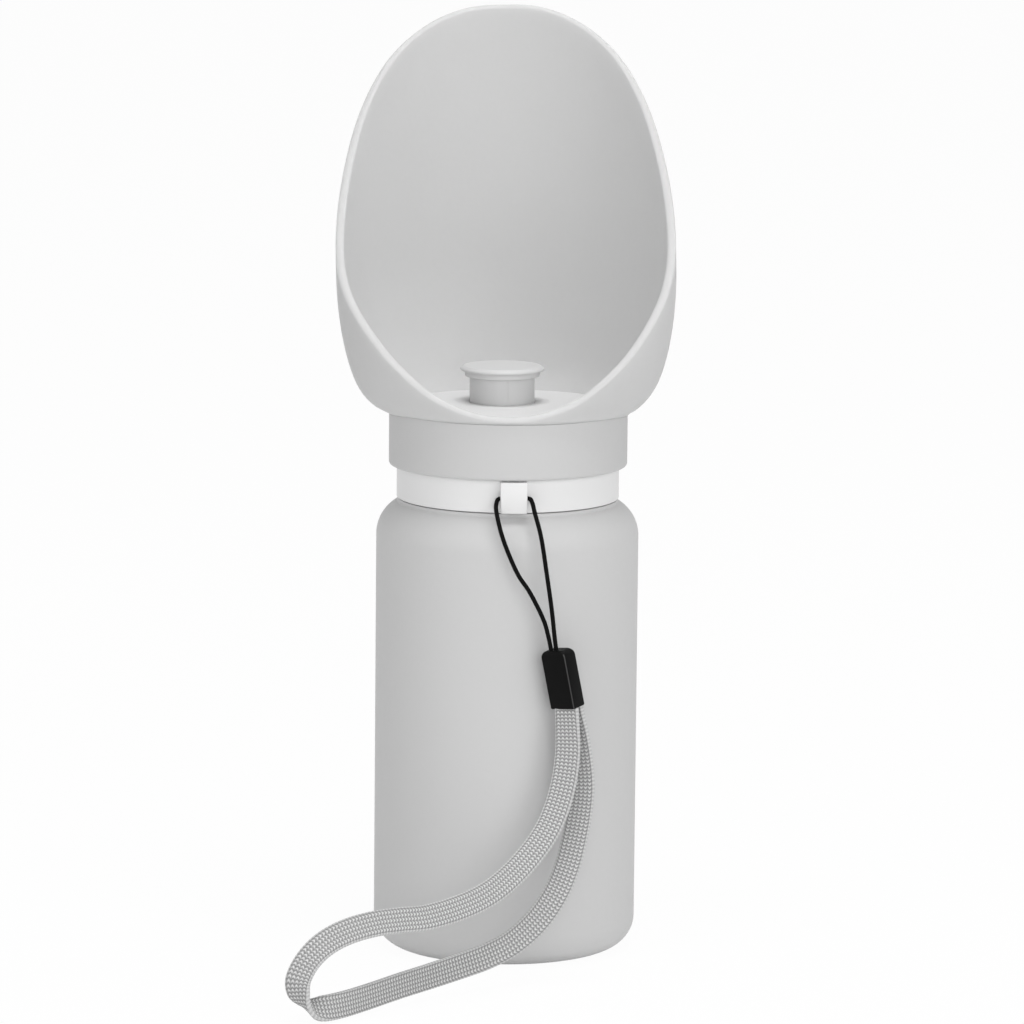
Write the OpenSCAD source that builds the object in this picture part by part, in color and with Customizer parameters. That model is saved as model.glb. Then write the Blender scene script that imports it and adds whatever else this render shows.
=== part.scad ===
// Travel water bottle with a scoop-shaped drinking bowl on its lid.
// Millimetres, +Z up, origin at the centre of the base. The front faces -Y.

/* [Bottle] */
// Outside diameter of the bottle body
bottle_d = 76; // [74:1:84]
// Height of the ledge that the strap ring rests above
ledge_z = 131.7; // [124:0.1:140]
// Radius of the rounded edge at the base
base_round = 8.9; // [4:0.1:12]
// Radius of the rounded shoulder
shoulder_round = 11; // [9:0.5:11]
// Wall thickness of the bottle
bottle_wall = 1.8; // [1.4:0.1:2.4]
// Height of the neck above the shoulder ledge
neck_h = 18.5; // [18.5:0.5:20]

/* [Thread] */
// Distance that the lid climbs in one turn
thread_pitch = 4; // [3.8:0.1:4.4]
// Number of turns of each thread ridge
thread_turns = 1.25; // [1:0.25:1.25]
// How far a thread ridge stands out
thread_h = 1.6; // [1.2:0.1:1.6]
// Width of a thread ridge at its base in the wall
thread_root = 2.2; // [1.8:0.1:2.2]
// Width of a thread ridge at its crest
thread_crest = 1; // [0.6:0.1:1]

/* [Lid] */
// Outside diameter of the lid band
band_d = 69; // [69:0.5:71]
// Wall thickness of the lid band
band_wall = 2; // [1.6:0.1:2.2]
// Height of the lid band
band_h = 14.4; // [14:0.1:15]
// Thickness of the deck at the top of the lid band
deck_t = 2; // [1.6:0.1:2.4]
// Radius of the lower outer edge of the lid band
band_round = 1.8; // [0.5:0.1:1.9]
// Thickness of the threaded cap's top
cap_t = 2.2; // [1.8:0.1:2.6]
// Wall thickness of the threaded cap's skirt
cap_wall = 1.4; // [1.2:0.1:1.5]
// Length of the threaded cap's skirt
cap_skirt = 8.7; // [8.4:0.1:8.9]
// Thickness of the lid seal
seal_t = 1.5; // [1:0.1:2]
// How far the lid seal reaches past the outside of the neck
seal_lip = 1.5; // [1:0.1:1.6]

/* [Floor plate] */
// How far the plate's edge lies inside the lid band's outside
plate_inset = 1.3; // [1.2:0.1:2]
// Thickness of the plate's rim above the bowl's foot
plate_t = 1.4; // [1:0.1:1.6]
// Height that the plate rises towards its middle
plate_dome = 0.9; // [0.4:0.1:1.2]
// Diameter of the hub that guides the valve
hub_d = 26; // [25:0.5:27]
// Length of the hub below the deck
hub_drop = 8.4; // [7.5:0.1:9]

/* [Drinking bowl] */
// Largest width of the bowl
bowl_d = 98.1; // [94:0.1:104]
// Height at which the bowl is widest, above its foot
bowl_rise = 42; // [38:1:46]
// Wall thickness of the bowl
bowl_wall = 2.5; // [2:0.1:2.8]
// Thickness of the foot clamped under the plate
foot_t = 1.3; // [1:0.1:1.6]
// How far the bowl leans back at its top
bowl_lean = 8; // [0:1:12]
// How far the soft bowl leans to the left at its top
side_lean = 2.9; // [0:0.1:3]
// How much the bowl's right side rises, for each millimetre from its axis
side_tilt = 0.03; // [0:0.01:0.03]
// Height over which the bowl's wall opens out from its foot
foot_ease = 2.3; // [1.5:0.1:3]
// Share of the sideways flare that the front lip keeps
front_flare = 0.35; // [0.3:0.05:0.6]
// Height of the back of the rim above the floor
rim_back = 111.3; // [100:0.1:120]
// Height of the front lip above the floor
rim_front = 1.3; // [1.3:0.1:4]

/* [Valve] */
// Diameter of the valve's mushroom head
head_d = 24.2; // [22:0.2:26]
// Thickness of the mushroom head
head_t = 3.1; // [2.6:0.1:4]
// Height of the head's underside above the floor
head_lift = 8.3; // [7:0.1:10]
// Outside diameter of the valve stem
stem_d = 18.8; // [18:0.2:19]
// Wall thickness of the valve stem
stem_wall = 2; // [1.8:0.1:2.4]
// Distance that the valve pulls up
valve_travel = 8.5; // [8:0.1:8.6]
// How far the valve sits to the left of the lid's axis
valve_left = 1.9; // [0:0.1:2]
// How far the valve sits behind the lid's axis
valve_back = 1.5; // [0:0.1:2]
// Width of each water window in the stem
window_w = 6; // [4:0.5:7]
// Height of each water window
window_h = 4.8; // [4:0.1:4.8]
// Number of water windows
window_count = 4; // [2:1:4]
// Thickness of the small seals round the stem
ring_seal_t = 1.5; // [1.2:0.1:1.6]
// Thickness of the stop collar
stop_t = 2.5; // [2:0.1:3]
// How far the stop collar stands out from the stem
stop_reach = 2.5; // [2:0.1:3]

/* [Strap ring] */
// Wall thickness of the strap ring
ring_wall = 1.37; // [1.2:0.01:1.5]
// Height of the strap ring
ring_h = 10.5; // [10:0.1:10.8]
// Width of the lug that holds the cord
lug_w = 7.7; // [6:0.1:8]
// Thickness of the lug's bridge
lug_t = 1.5; // [1.2:0.1:1.6]
// Room behind the lug's bridge for the cord
lug_gap = 1.5; // [1.5:0.1:1.7]
// Height of the slot behind the bridge
lug_slot = 3.6; // [3:0.1:3.6]

/* [Strap] */
// Thickness of the thin cord
cord_d = 1.25; // [1:0.05:1.25]
// Width of the webbing
web_w = 7.4; // [6:0.1:7.5]
// Thickness of the webbing
web_t = 1.7; // [1.2:0.1:1.8]
// Width of the crimp block
crimp_w = 9; // [9:0.1:10]
// Depth of the crimp block
crimp_d = 5.2; // [5.2:0.1:6]
// Length of the crimp block
crimp_l = 17; // [16:0.5:17.5]

/* [Fits] */
// Gap between pieces that turn or slide past each other
run_gap = 0.3; // [0.25:0.05:0.35]
// Room between the crest of the neck's thread and the cap
thread_room = 0.2; // [0.2:0.05:0.4]
// Gap at the hub where it passes through the deck
hub_gap = 0.2; // [0.15:0.05:0.3]
// Gap between the plate's edge and the bowl's wall
plate_gap = 0.25; // [0.2:0.05:0.4]
// Gap between the stop collar and the groove that it clips into
clip_gap = 0.05; // [0.03:0.01:0.1]

/* [Hidden] */
$fn = 96;
small_fn = 32;
// How far a cut runs past the face that it opens
cut_over = 1;

// Bottle
bottle_r = bottle_d / 2;
shoulder_c = bottle_r - shoulder_round;
shoulder_over = 0.2;
shoulder_z = ledge_z + shoulder_over - shoulder_round;
neck_top = ledge_z + neck_h;
collar_h = 6;
collar_in = 0.1;

// Lid stack, from the neck rim up to the floor of the bowl
cap_under = neck_top + seal_t;
cap_top = cap_under + cap_t;
foot_z = cap_top + deck_t;
foot_top = foot_z + foot_t;
floor_z = foot_top + plate_t;
band_r = band_d / 2;
band_in = band_r - band_wall;
band_z = foot_z - band_h;
cap_r = band_in - run_gap;
cap_in = cap_r - cap_wall;
neck_r = cap_in - thread_h - thread_room;
neck_in = neck_r - bottle_wall;
collar_r = neck_r + thread_h - collar_in;

// Thread, with the cap's ridge half a pitch below the neck's
thread_step = 10;
thread_top = 1.2;
thread_z = neck_top - thread_top - thread_pitch * thread_turns;
thread_start = -200;
thread_bite = 0.6;
thread_lead = 40;
thread_start_share = 0.15;
thread_gap = 0.5;
cap_thread_z = thread_z - thread_pitch * (0.5 + thread_start / 360);

// Plate and hub
plate_r = band_r - plate_inset;
hub_r = hub_d / 2;
hub_hole_r = hub_r + hub_gap;
hub_z = foot_z - hub_drop;
snap_reach = 0.9;
snap_h = 0.6;
bowl_in_r = plate_r + plate_gap;
foot_lap = 7.5;
edge_cut = 0.3;
dome_reach = 1.5;
dome_mid = 0.7;
dome_mid_rise = 0.55;

// Valve
valve_at = [-valve_left, valve_back, 0];
stem_r = stem_d / 2;
stem_bore = stem_r + run_gap;
stem_in = stem_r - stem_wall;
stem_roof = 2;
head_z = floor_z + head_lift;
head_r = head_d / 2;
head_top_z = head_z + head_t;
head_round = 1.4;
window_sink = 2.3;
window_z = floor_z - window_sink - window_h;
window_turn = 45;
seal_squeeze = 0.1;
seal_r = stem_bore - seal_squeeze - ring_seal_t / 2;
upper_seal_drop = 0.7;
upper_seal_z = floor_z - upper_seal_drop;
lower_seal_lift = 1.8;
lower_seal_z = hub_z + lower_seal_lift;
stop_gap = 0.1;
stop_top = hub_z - valve_travel - stop_gap;
clip_depth = 0.5;
clip_r = stem_r - clip_depth;
clip_lip = 0.8;
lip_in = 0.1;
stop_r = stem_r + stop_reach;
stem_z = stop_top - stop_t - clip_lip;

// Strap ring and its lug
ring_in = collar_r + run_gap;
ring_r = ring_in + ring_wall;
ring_z = ledge_z + run_gap;
seat_in = 0.3;
ledge_r = ring_r - seat_in;
lug_angle = 3;
lug_root = 0.6;
lug_top_gap = 0.4;
lug_top = band_z - lug_top_gap;
lug_slot_lift = 2.5;
lug_slot_z = ring_z + lug_slot_lift;

// Crimp block: its middle, how far it leans, tips and turns
crimp_x = 16.1;
crimp_out = 3.9;
crimp_z = 86.2;
crimp_lean = -11;
crimp_tip = 2;
crimp_turn = -40;
crimp_corner = 1;
crimp_top_round = 2;

// Thin cord, in three runs: up from the crimp, behind the lug, and down again.
// Each row is sideways place, distance in front of the bottle or of the ring, and height.
cord_up = [
    [13.1, 4.0, 92.6], [12.0, 3.7, 98.0], [10.4, 3.3, 103.2], [6.6, 2.9, 110.6],
    [3.3, 2.8, 115.5], [0.5, 2.5, 121.5], [-1.6, 1.6, 127.1]];
cord_behind = [
    [-3.1, 4.1, 132.8], [-3.1, 2.0, 135.4], [-2.1, 0.8, 136.3], [1.8, 0.72, 136.4],
    [5.9, 0.45, 136.4], [7.0, 2.1, 135.5], [7.8, 4.6, 132.8]];
cord_down = [
    [9.7, 2.0, 126.1], [11.4, 3.1, 115.6], [12.8, 3.5, 106.2], [13.8, 4.0, 97.6],
    [14.5, 4.2, 92.6]];
function in_front(rows, r) = [for (p = rows) [p[0], -r - p[1], p[2]]];
cord_route = concat(in_front(cord_up, bottle_r), in_front(cord_behind, ring_r),
                    in_front(cord_down, bottle_r));
cord_sides = 8;
// Places that each stretch between two route points is divided into
route_steps = 2;

// Webbing: down the front, out to the left, round and back to the crimp.
// Each row is sideways place, distance in front of the bottle, height, and the direction
// across the webbing towards its upper or left edge.
web_rows = [
    [17.3, 4.9, 79.4, -0.84, 0.55, 0], [17.7, 5.6, 72.4, -0.89, 0.45, 0],
    [17.8, 6.4, 65.3, -0.94, 0.32, 0.05], [17, 7.6, 58, -0.93, 0.28, 0.2],
    [15.3, 9.4, 51.1, -0.88, 0.3, 0.35], [12.5, 12.2, 44.4, -0.78, 0.32, 0.5],
    [8.2, 16.2, 38.4, -0.65, 0.35, 0.65], [2.3, 21.6, 32.7, -0.55, 0.35, 0.75],
    [-4.2, 28, 28.6, -0.42, 0.35, 0.85], [-11.9, 35.2, 26.2, -0.3, 0.38, 0.88],
    [-21.1, 43, 24.9, -0.12, 0.5, 0.85], [-28.9, 49, 25.3, -0.1, 0.5, 0.85],
    [-36, 54.5, 25.4, -0.3, 0.42, 0.85], [-43.3, 59.8, 24.3, -0.5, 0.32, 0.8],
    [-49.4, 64.2, 21.8, -0.68, 0.3, 0.62], [-53.9, 67.4, 17.8, -0.88, 0.3, 0.3],
    [-56.5, 69.6, 13, -0.95, 0.3, 0.08], [-56.4, 70.2, 8.9, -0.8, 0.58, 0],
    [-54.9, 69.6, 5.8, -0.5, 0.85, 0.05], [-52.3, 68.3, 4.2, -0.25, 0.75, 0.5],
    [-48.6, 66.2, 4.1, -0.1, 0.4, 0.9], [-43.5, 61.1, 4.2, -0.03, 0.2, 1],
    [-37.1, 53.4, 4.6, 0, 0.12, 1], [-28.8, 44.5, 5.6, 0, 0.1, 1],
    [-20.5, 35.7, 6.4, -0.03, 0.1, 1], [-12.2, 29, 7.8, -0.08, 0.1, 1],
    [-4.6, 24.5, 9.7, -0.18, 0.12, 0.98], [2.7, 20.6, 12.9, -0.35, 0.12, 0.93],
    [9.5, 16.8, 18.4, -0.55, 0.15, 0.82], [14.6, 13.2, 25.2, -0.75, 0.18, 0.62],
    [17.9, 10, 32.4, -0.86, 0.2, 0.42], [20, 7.4, 40, -0.92, 0.22, 0.25],
    [21.4, 5.4, 47.5, -0.94, 0.25, 0.12], [22, 4.2, 54.8, -0.95, 0.27, 0.03],
    [21.5, 3.5, 61.9, -0.94, 0.32, 0], [20.5, 3, 69, -0.91, 0.41, 0],
    [19.2, 2.9, 75.4, -0.86, 0.51, 0], [18.5, 3, 79.2, -0.84, 0.55, 0]];
web_route = in_front(web_rows, bottle_r);
web_side = [for (p = web_rows) [p[3], p[4], p[5]]];
web_edge = 0.5;

// How high the rim stands from the back round to the front, as a share of the way from
// the front lip to the back
rim_step = 15;
rim_share = [1, 0.99, 0.945, 0.865, 0.74, 0.58, 0.43, 0.325, 0.23, 0.13, 0.05, 0.01, 0];

function unit(v) = v / norm(v);
function smooth(t) = t * t * (3 - 2 * t);
function mix(a, b, t) = a + (b - a) * t;
function clamp(v, lo, hi) = min(max(v, lo), hi);

// Curve through four points, at t between the middle two
function curve(a, b, c, d, t) = 0.5 * (2 * b + (c - a) * t
    + (2 * a - 5 * b + 4 * c - d) * t * t + (3 * b - a - 3 * c + d) * t * t * t);
function curve_at(p, i, t) = curve(p[max(i - 1, 0)], p[i], p[i + 1], p[min(i + 2, len(p) - 1)], t);
function trace(p, steps) = concat(
    [for (i = [0 : len(p) - 2]) for (k = [0 : steps - 1]) curve_at(p, i, k / steps)],
    [p[len(p) - 1]]);

function rim_height(az) = let (
    a = min(az, 360 - az) / rim_step,
    last = len(rim_share) - 1,
    i = min(floor(a), last - 1),
    before = i == 0 ? rim_share[1] : rim_share[i - 1],
    after = i == last - 1 ? rim_share[last - 1] : rim_share[i + 2])
    mix(rim_front, rim_back, curve(before, rim_share[i], rim_share[i + 1], after, a - i));

// Faces of a closed tube of rings, with flat ends
function tube_faces(rings, sides) = concat(
    [[for (k = [0 : sides - 1]) k]],
    [for (i = [0 : rings - 2]) for (k = [0 : sides - 1])
        [i * sides + k, (i + 1) * sides + k, (i + 1) * sides + (k + 1) % sides]],
    [for (i = [0 : rings - 2]) for (k = [0 : sides - 1])
        [i * sides + k, (i + 1) * sides + (k + 1) % sides, i * sides + (k + 1) % sides]],
    [[for (k = [sides - 1 : -1 : 0]) (rings - 1) * sides + k]]);

// A section carried along a line; each section point is along the side and across it
module sweep(line, sides, section) {
    last = len(line) - 1;
    points = [for (i = [0 : last]) let (
        along = unit(line[min(i + 1, last)] - line[max(i - 1, 0)]),
        side = unit(sides[i] - along * (sides[i] * along)),
        up = cross(along, side))
        for (s = section) line[i] + side * s[0] + up * s[1]];
    polyhedron(points, tube_faces(len(line), len(section)), convexity = 10);
}

// Bowl profile: an ellipse quarter from the foot, then upright
lean_reach = 110;
lean_power = 1.5;
tilt_height = 4;
tilt_fade = 1.6;
flat_height = 12;
wall_low = 0.8;
bulge = bowl_d / 2 - band_r;
function lean_share(z) = max(z - floor_z, 0) / lean_reach;
function profile_angle(z) = acos(clamp(1 - (z - foot_z) / bowl_rise, 0, 1));
function swell(z) = bulge * sin(profile_angle(z)) * (1 - exp(-(z - foot_z) / foot_ease));
function keep(az) = cos(az) >= 0 ? 1 : mix(1, front_flare, smooth(-cos(az)));
function tilt(az, z) = side_tilt * (1 - exp(-(z - foot_z) / tilt_height))
    * clamp(1 + tilt_fade * cos(az), 0, 1);
function outer_point(az, z) = let (x = sin(az) * (band_r + swell(z)))
    [x - side_lean * lean_share(z),
     cos(az) * (band_r + swell(z) * keep(az)) + bowl_lean * pow(lean_share(z), lean_power),
     z + x * tilt(az, z)];
function outward(az, z) = let (
    t = profile_angle(z),
    a = bulge * mix(1, keep(az), pow(cos(az), 2)),
    n = unit([sin(t) / a, -cos(t) / bowl_rise * clamp((z - foot_z) / flat_height, 0, 1)]))
    [sin(az) * n[0], cos(az) * n[0], n[1]];
function clear_of_plate(p) = let (k = max(1, bowl_in_r / norm([p[0], p[1]])))
    [p[0] * k, p[1] * k, p[2]];
function inner_point(az, z) = clear_of_plate(outer_point(az, z) - outward(az, z) * bowl_wall);

bowl_turns = 60;
bowl_rows = 13;
outer_power = 1.5;
inner_power = 1.2;
rim_rows = 5;
function rim_low(az) = floor_z + rim_height(az) - bowl_wall / 2;
function ring_at(az, r, z) = [sin(az) * r, cos(az) * r, z];
function bowl_loop(az) = let (
    top = rim_low(az),
    out = outward(az, top),
    mid = outer_point(az, top) - out * bowl_wall / 2,
    rise = unit([-sin(az) * out[2], -cos(az) * out[2], norm([out[0], out[1]])]))
    concat(
        [for (i = [0 : bowl_rows]) outer_point(az, mix(foot_z, top, pow(i / bowl_rows, outer_power)))],
        [for (k = [1 : rim_rows]) let (f = 180 * k / (rim_rows + 1))
            mid + (out * cos(f) + rise * sin(f)) * bowl_wall / 2],
        [for (i = [bowl_rows : -1 : 0])
            inner_point(az, mix(foot_top + wall_low, top, pow(i / bowl_rows, inner_power)))],
        [ring_at(az, bowl_in_r, foot_top),
         ring_at(az, band_r - foot_lap, foot_top),
         ring_at(az, band_r - foot_lap, foot_z)]);

// One ridge of the thread: a trapezium that winds up, with its base sunk into the wall
module ridge(root_r, crest_r, low_z, start) {
    steps = round(thread_turns * 360 / thread_step);
    inward = root_r > crest_r;
    base_r = root_r + (inward ? thread_bite : -thread_bite);
    points = [for (i = [0 : steps]) let (
        a = i * thread_step,
        z = low_z + thread_pitch * a / 360,
        fade = min(1, thread_start_share + min(a, thread_turns * 360 - a) / thread_lead),
        tip = mix(root_r, crest_r, fade))
        for (q = [[base_r, -thread_root / 2], [tip, -thread_crest / 2],
                  [tip, thread_crest / 2], [base_r, thread_root / 2]])
            [q[0] * cos(start + a), q[0] * sin(start + a), z + q[1]]];
    faces = tube_faces(steps + 1, 4);
    backwards = [for (f = faces) [for (k = [len(f) - 1 : -1 : 0]) f[k]]];
    polyhedron(points, inward ? faces : backwards, convexity = 10);
}

module ring_band(outer, inner, low, high) {
    translate([0, 0, low]) difference() {
        cylinder(r = outer, h = high - low);
        translate([0, 0, -cut_over]) cylinder(r = inner, h = high - low + 2 * cut_over);
    }
}

module quarter(radius) {
    intersection() {
        circle(r = radius);
        translate([0, -radius]) square([radius, radius]);
    }
}

module bottle() {
    in_r = bottle_r - bottle_wall;
    base_c = bottle_r - base_round;
    color("silver") {
        rotate_extrude() difference() {
            union() {
                square([base_c, ledge_z]);
                translate([0, base_round]) square([bottle_r, shoulder_z - base_round]);
                translate([base_c, base_round]) quarter(base_round);
                intersection() {
                    translate([shoulder_c, shoulder_z]) circle(r = shoulder_round);
                    translate([0, shoulder_z]) square([bottle_r, ledge_z - shoulder_z]);
                }
                square([ledge_r, ledge_z]);
                square([collar_r, ledge_z + collar_h]);
                square([neck_r, neck_top]);
            }
            translate([0, bottle_wall]) square([base_c, shoulder_z - bottle_wall]);
            translate([0, base_round]) square([in_r, shoulder_z - base_round]);
            translate([base_c, base_round]) quarter(base_round - bottle_wall);
            intersection() {
                translate([shoulder_c, shoulder_z]) circle(r = shoulder_round - bottle_wall);
                square([in_r, ledge_z]);
            }
            translate([0, shoulder_z]) square([neck_in, neck_top]);
        }
        ridge(neck_r, neck_r + thread_h, thread_z, thread_start);
    }
}

module strap_ring() {
    bridge_y = -ring_r - lug_gap - lug_t;
    root_y = -ring_r + ring_wall * lug_root;
    slot_top = lug_slot_z + lug_slot;
    color("white") {
        ring_band(ring_r, ring_in, ring_z, ring_z + ring_h);
        rotate([0, 0, lug_angle]) translate([-lug_w / 2, bridge_y, 0]) {
            translate([0, 0, ring_z]) cube([lug_w, lug_t, lug_top - ring_z]);
            translate([0, 0, ring_z]) cube([lug_w, root_y - bridge_y, lug_slot_z - ring_z]);
            translate([0, 0, slot_top]) cube([lug_w, root_y - bridge_y, lug_top - slot_top]);
        }
    }
}

module lid_shell() {
    color("silver") difference() {
        rotate_extrude() {
            translate([0, foot_z - deck_t]) square([band_r, deck_t]);
            translate([band_in, band_z + band_round]) square([band_wall, band_h - band_round]);
            translate([band_in, band_z]) square([band_wall - band_round, band_round]);
            intersection() {
                translate([band_r - band_round, band_z + band_round]) circle(r = band_round);
                translate([band_in, band_z]) square([band_wall, band_h]);
            }
        }
        translate(valve_at) translate([0, 0, foot_z - deck_t - cut_over])
            cylinder(r = hub_hole_r, h = deck_t + 2 * cut_over);
    }
}

module lid_insert() {
    color("gainsboro") {
        difference() {
            translate([0, 0, cap_under - cap_skirt]) cylinder(r = cap_r, h = cap_skirt + cap_t);
            translate([0, 0, cap_under - cap_skirt - cut_over])
                cylinder(r = cap_in, h = cap_skirt + cut_over);
            translate(valve_at) translate([0, 0, cap_under - cut_over])
                cylinder(r = hub_hole_r, h = cap_t + 2 * cut_over);
        }
        ridge(cap_in, neck_r + thread_gap, cap_thread_z, 0);
    }
}

module lid_gasket() {
    color("lightgray") ring_band(neck_r + seal_lip, neck_in, neck_top, cap_under);
}

module floor_plate() {
    snap_z = cap_under - hub_gap;
    color("whitesmoke") difference() {
        union() {
            rotate_extrude() polygon([
                [0, foot_z], [band_r - foot_lap - run_gap, foot_z],
                [band_r - foot_lap - run_gap, foot_top], [plate_r, foot_top],
                [plate_r, floor_z - edge_cut], [plate_r - edge_cut, floor_z],
                [plate_r * dome_mid, floor_z + plate_dome * dome_mid_rise],
                [stem_r * dome_reach, floor_z + plate_dome], [0, floor_z + plate_dome]]);
            translate(valve_at) rotate_extrude() polygon([
                [0, hub_z], [hub_r, hub_z], [hub_r, snap_z - snap_h - snap_reach],
                [hub_r + snap_reach, snap_z - snap_h], [hub_r + snap_reach, snap_z],
                [hub_r, snap_z], [hub_r, foot_top], [0, foot_top]]);
        }
        translate(valve_at) translate([0, 0, hub_z - cut_over])
            cylinder(r = stem_bore, h = floor_z + plate_dome - hub_z + 2 * cut_over);
    }
}

module drinking_bowl() {
    loops = [for (i = [0 : bowl_turns - 1]) bowl_loop(i * 360 / bowl_turns)];
    sides = len(loops[0]);
    points = [for (ring = loops) for (p = ring) p];
    faces = [for (i = [0 : bowl_turns - 1]) for (k = [0 : sides - 1]) let (
        j = (i + 1) % bowl_turns,
        m = (k + 1) % sides)
        for (half = [0, 1]) half == 0
            ? [i * sides + k, i * sides + m, j * sides + m]
            : [i * sides + k, j * sides + m, j * sides + k]];
    color("silver") polyhedron(points, faces, convexity = 10);
}

module valve_plug() {
    color("gainsboro") translate(valve_at) difference() {
        rotate_extrude() difference() {
            union() {
                translate([0, stop_top]) square([stem_r, head_z - stop_top + head_round]);
                translate([0, stem_z]) square([clip_r, stop_top - stem_z]);
                translate([0, stem_z]) square([stem_r - lip_in, clip_lip - clip_gap]);
                translate([0, head_z]) square([head_r - head_round, head_t]);
                translate([0, head_z + head_round]) square([head_r, head_t - 2 * head_round]);
                for (z = [head_z + head_round, head_top_z - head_round])
                    translate([head_r - head_round, z]) circle(r = head_round);
            }
            translate([0, stem_z - cut_over]) square([stem_in, head_z - stem_roof - stem_z + cut_over]);
            for (z = [upper_seal_z, lower_seal_z])
                translate([seal_r - ring_seal_t / 2 - clip_gap, z - ring_seal_t / 2 - clip_gap])
                    square([ring_seal_t * 2, ring_seal_t + 2 * clip_gap]);
        }
        for (i = [0 : window_count - 1]) rotate([0, 0, window_turn + i * 360 / window_count])
            translate([stem_in - cut_over, -window_w / 2, window_z])
                cube([stem_wall + 2 * cut_over, window_w, window_h]);
    }
}

module plug_o_rings() {
    color("dimgray") for (z = [upper_seal_z, lower_seal_z])
        translate(valve_at) translate([0, 0, z]) rotate_extrude()
            translate([seal_r, 0]) circle(d = ring_seal_t, $fn = small_fn);
}

module plug_stop() {
    color("white") translate(valve_at) ring_band(stop_r, clip_r + clip_gap, stop_top - stop_t, stop_top);
}

module strap_cord() {
    line = trace(cord_route, route_steps);
    turn = 360 / cord_sides;
    section = [for (k = [0 : cord_sides - 1]) [cos(k * turn), sin(k * turn)] * cord_d / 2];
    color("black") sweep(line, [for (p = line) [0, 1, 0]], section);
}

module strap_crimp() {
    half_w = crimp_w / 2;
    half_l = crimp_l / 2;
    flat_w = half_w - crimp_corner;
    flat_d = crimp_d / 2 - crimp_corner;
    top_w = half_w - crimp_top_round;
    color("black") translate([crimp_x, -bottle_r - crimp_out, crimp_z])
        rotate([crimp_tip, crimp_lean, 0]) rotate([0, 0, crimp_turn]) intersection() {
            translate([0, 0, -half_l]) linear_extrude(crimp_l) union() {
                square([2 * flat_w, crimp_d], center = true);
                square([crimp_w, 2 * flat_d], center = true);
                for (x = [-flat_w, flat_w]) for (y = [-flat_d, flat_d])
                    translate([x, y]) circle(r = crimp_corner, $fn = small_fn);
            }
            rotate([90, 0, 0]) translate([0, 0, -crimp_d]) linear_extrude(2 * crimp_d) union() {
                translate([-half_w, -half_l]) square([crimp_w, crimp_l - crimp_top_round]);
                translate([-top_w, -half_l]) square([2 * top_w, crimp_l]);
                for (x = [-top_w, top_w]) translate([x, half_l - crimp_top_round])
                    circle(r = crimp_top_round, $fn = small_fn);
            }
        }
}

module strap_webbing() {
    side = web_w / 2;
    face = web_t / 2;
    flat = side - web_edge;
    edge = face - web_edge;
    section = [[side, edge], [flat, face], [-flat, face], [-side, edge],
               [-side, -edge], [-flat, -face], [flat, -face], [side, -edge]];
    color("darkgray") sweep(trace(web_route, route_steps), trace(web_side, route_steps), section);
}

bottle();
strap_ring();
lid_shell();
lid_insert();
lid_gasket();
floor_plate();
drinking_bowl();
valve_plug();
plug_o_rings();
plug_stop();
strap_cord();
strap_crimp();
strap_webbing();
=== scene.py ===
# %% [markdown]
# # A travel water bottle with a drinking scoop
# The object is a soft squeeze bottle with a screw lid. The lid carries a tall scoop of
# silicone and a valve that pulls up. A white ring under the lid holds a wrist loop.
# Each cell below makes one piece or one finish. The note before it says what the piece is
# on the real object and why it is made that way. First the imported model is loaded: it
# fixes where everything is, and every piece made here rides on one of its moving bodies.

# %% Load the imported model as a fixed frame
import bmesh
import bpy
import math
from mathutils import Matrix, Vector


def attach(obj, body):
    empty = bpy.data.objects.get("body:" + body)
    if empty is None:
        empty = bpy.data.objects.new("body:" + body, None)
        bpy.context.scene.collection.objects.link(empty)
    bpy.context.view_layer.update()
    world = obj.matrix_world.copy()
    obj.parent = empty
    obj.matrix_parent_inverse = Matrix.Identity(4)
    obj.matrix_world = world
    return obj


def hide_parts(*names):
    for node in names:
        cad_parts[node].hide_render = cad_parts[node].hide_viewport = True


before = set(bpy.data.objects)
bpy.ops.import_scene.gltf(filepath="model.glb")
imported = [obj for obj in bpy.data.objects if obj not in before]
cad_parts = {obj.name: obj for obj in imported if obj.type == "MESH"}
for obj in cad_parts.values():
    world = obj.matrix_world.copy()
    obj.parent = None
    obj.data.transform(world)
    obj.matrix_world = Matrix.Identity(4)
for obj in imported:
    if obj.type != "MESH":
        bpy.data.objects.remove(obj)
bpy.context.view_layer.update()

MM = 0.001
scene = bpy.context.scene


def placed(name, data):
    """A new object in the scene for a mesh, a lamp or a camera."""
    thing = bpy.data.objects.new(name, data)
    scene.collection.objects.link(thing)
    return thing


# %% [markdown]
# ## The camera
# A product photo is taken from far away with a long lens, so that upright sides stay
# upright. The camera stands almost two metres back, looks slightly down, and is rolled by
# half a degree, which is why the bottle leans a little in the picture.

# %% The photograph's viewpoint
CAMERA_PLACE = (1.301, -1897.9, 426.3)
CAMERA_DOWN = 8.953
CAMERA_ROLL = 0.545
CAMERA_LENS = 233.1

lens = bpy.data.cameras.new("camera")
lens.lens = CAMERA_LENS
lens.clip_end = 10
camera = placed("camera", lens)
look = Matrix.Rotation(math.radians(90 - CAMERA_DOWN), 4, "X")
turn = Matrix.Rotation(math.radians(CAMERA_ROLL), 4, "Z")
camera.matrix_world = Matrix.Translation(Vector(CAMERA_PLACE) * MM) @ look @ turn
scene.camera = camera
print("camera at", [round(v, 3) for v in camera.matrix_world.translation])

# %% [markdown]
# ## Sizes of the object
# These are the driving sizes of the real object, in millimetres. Everything that is
# modelled below takes its size from them, so the pieces keep fitting each other.

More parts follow.
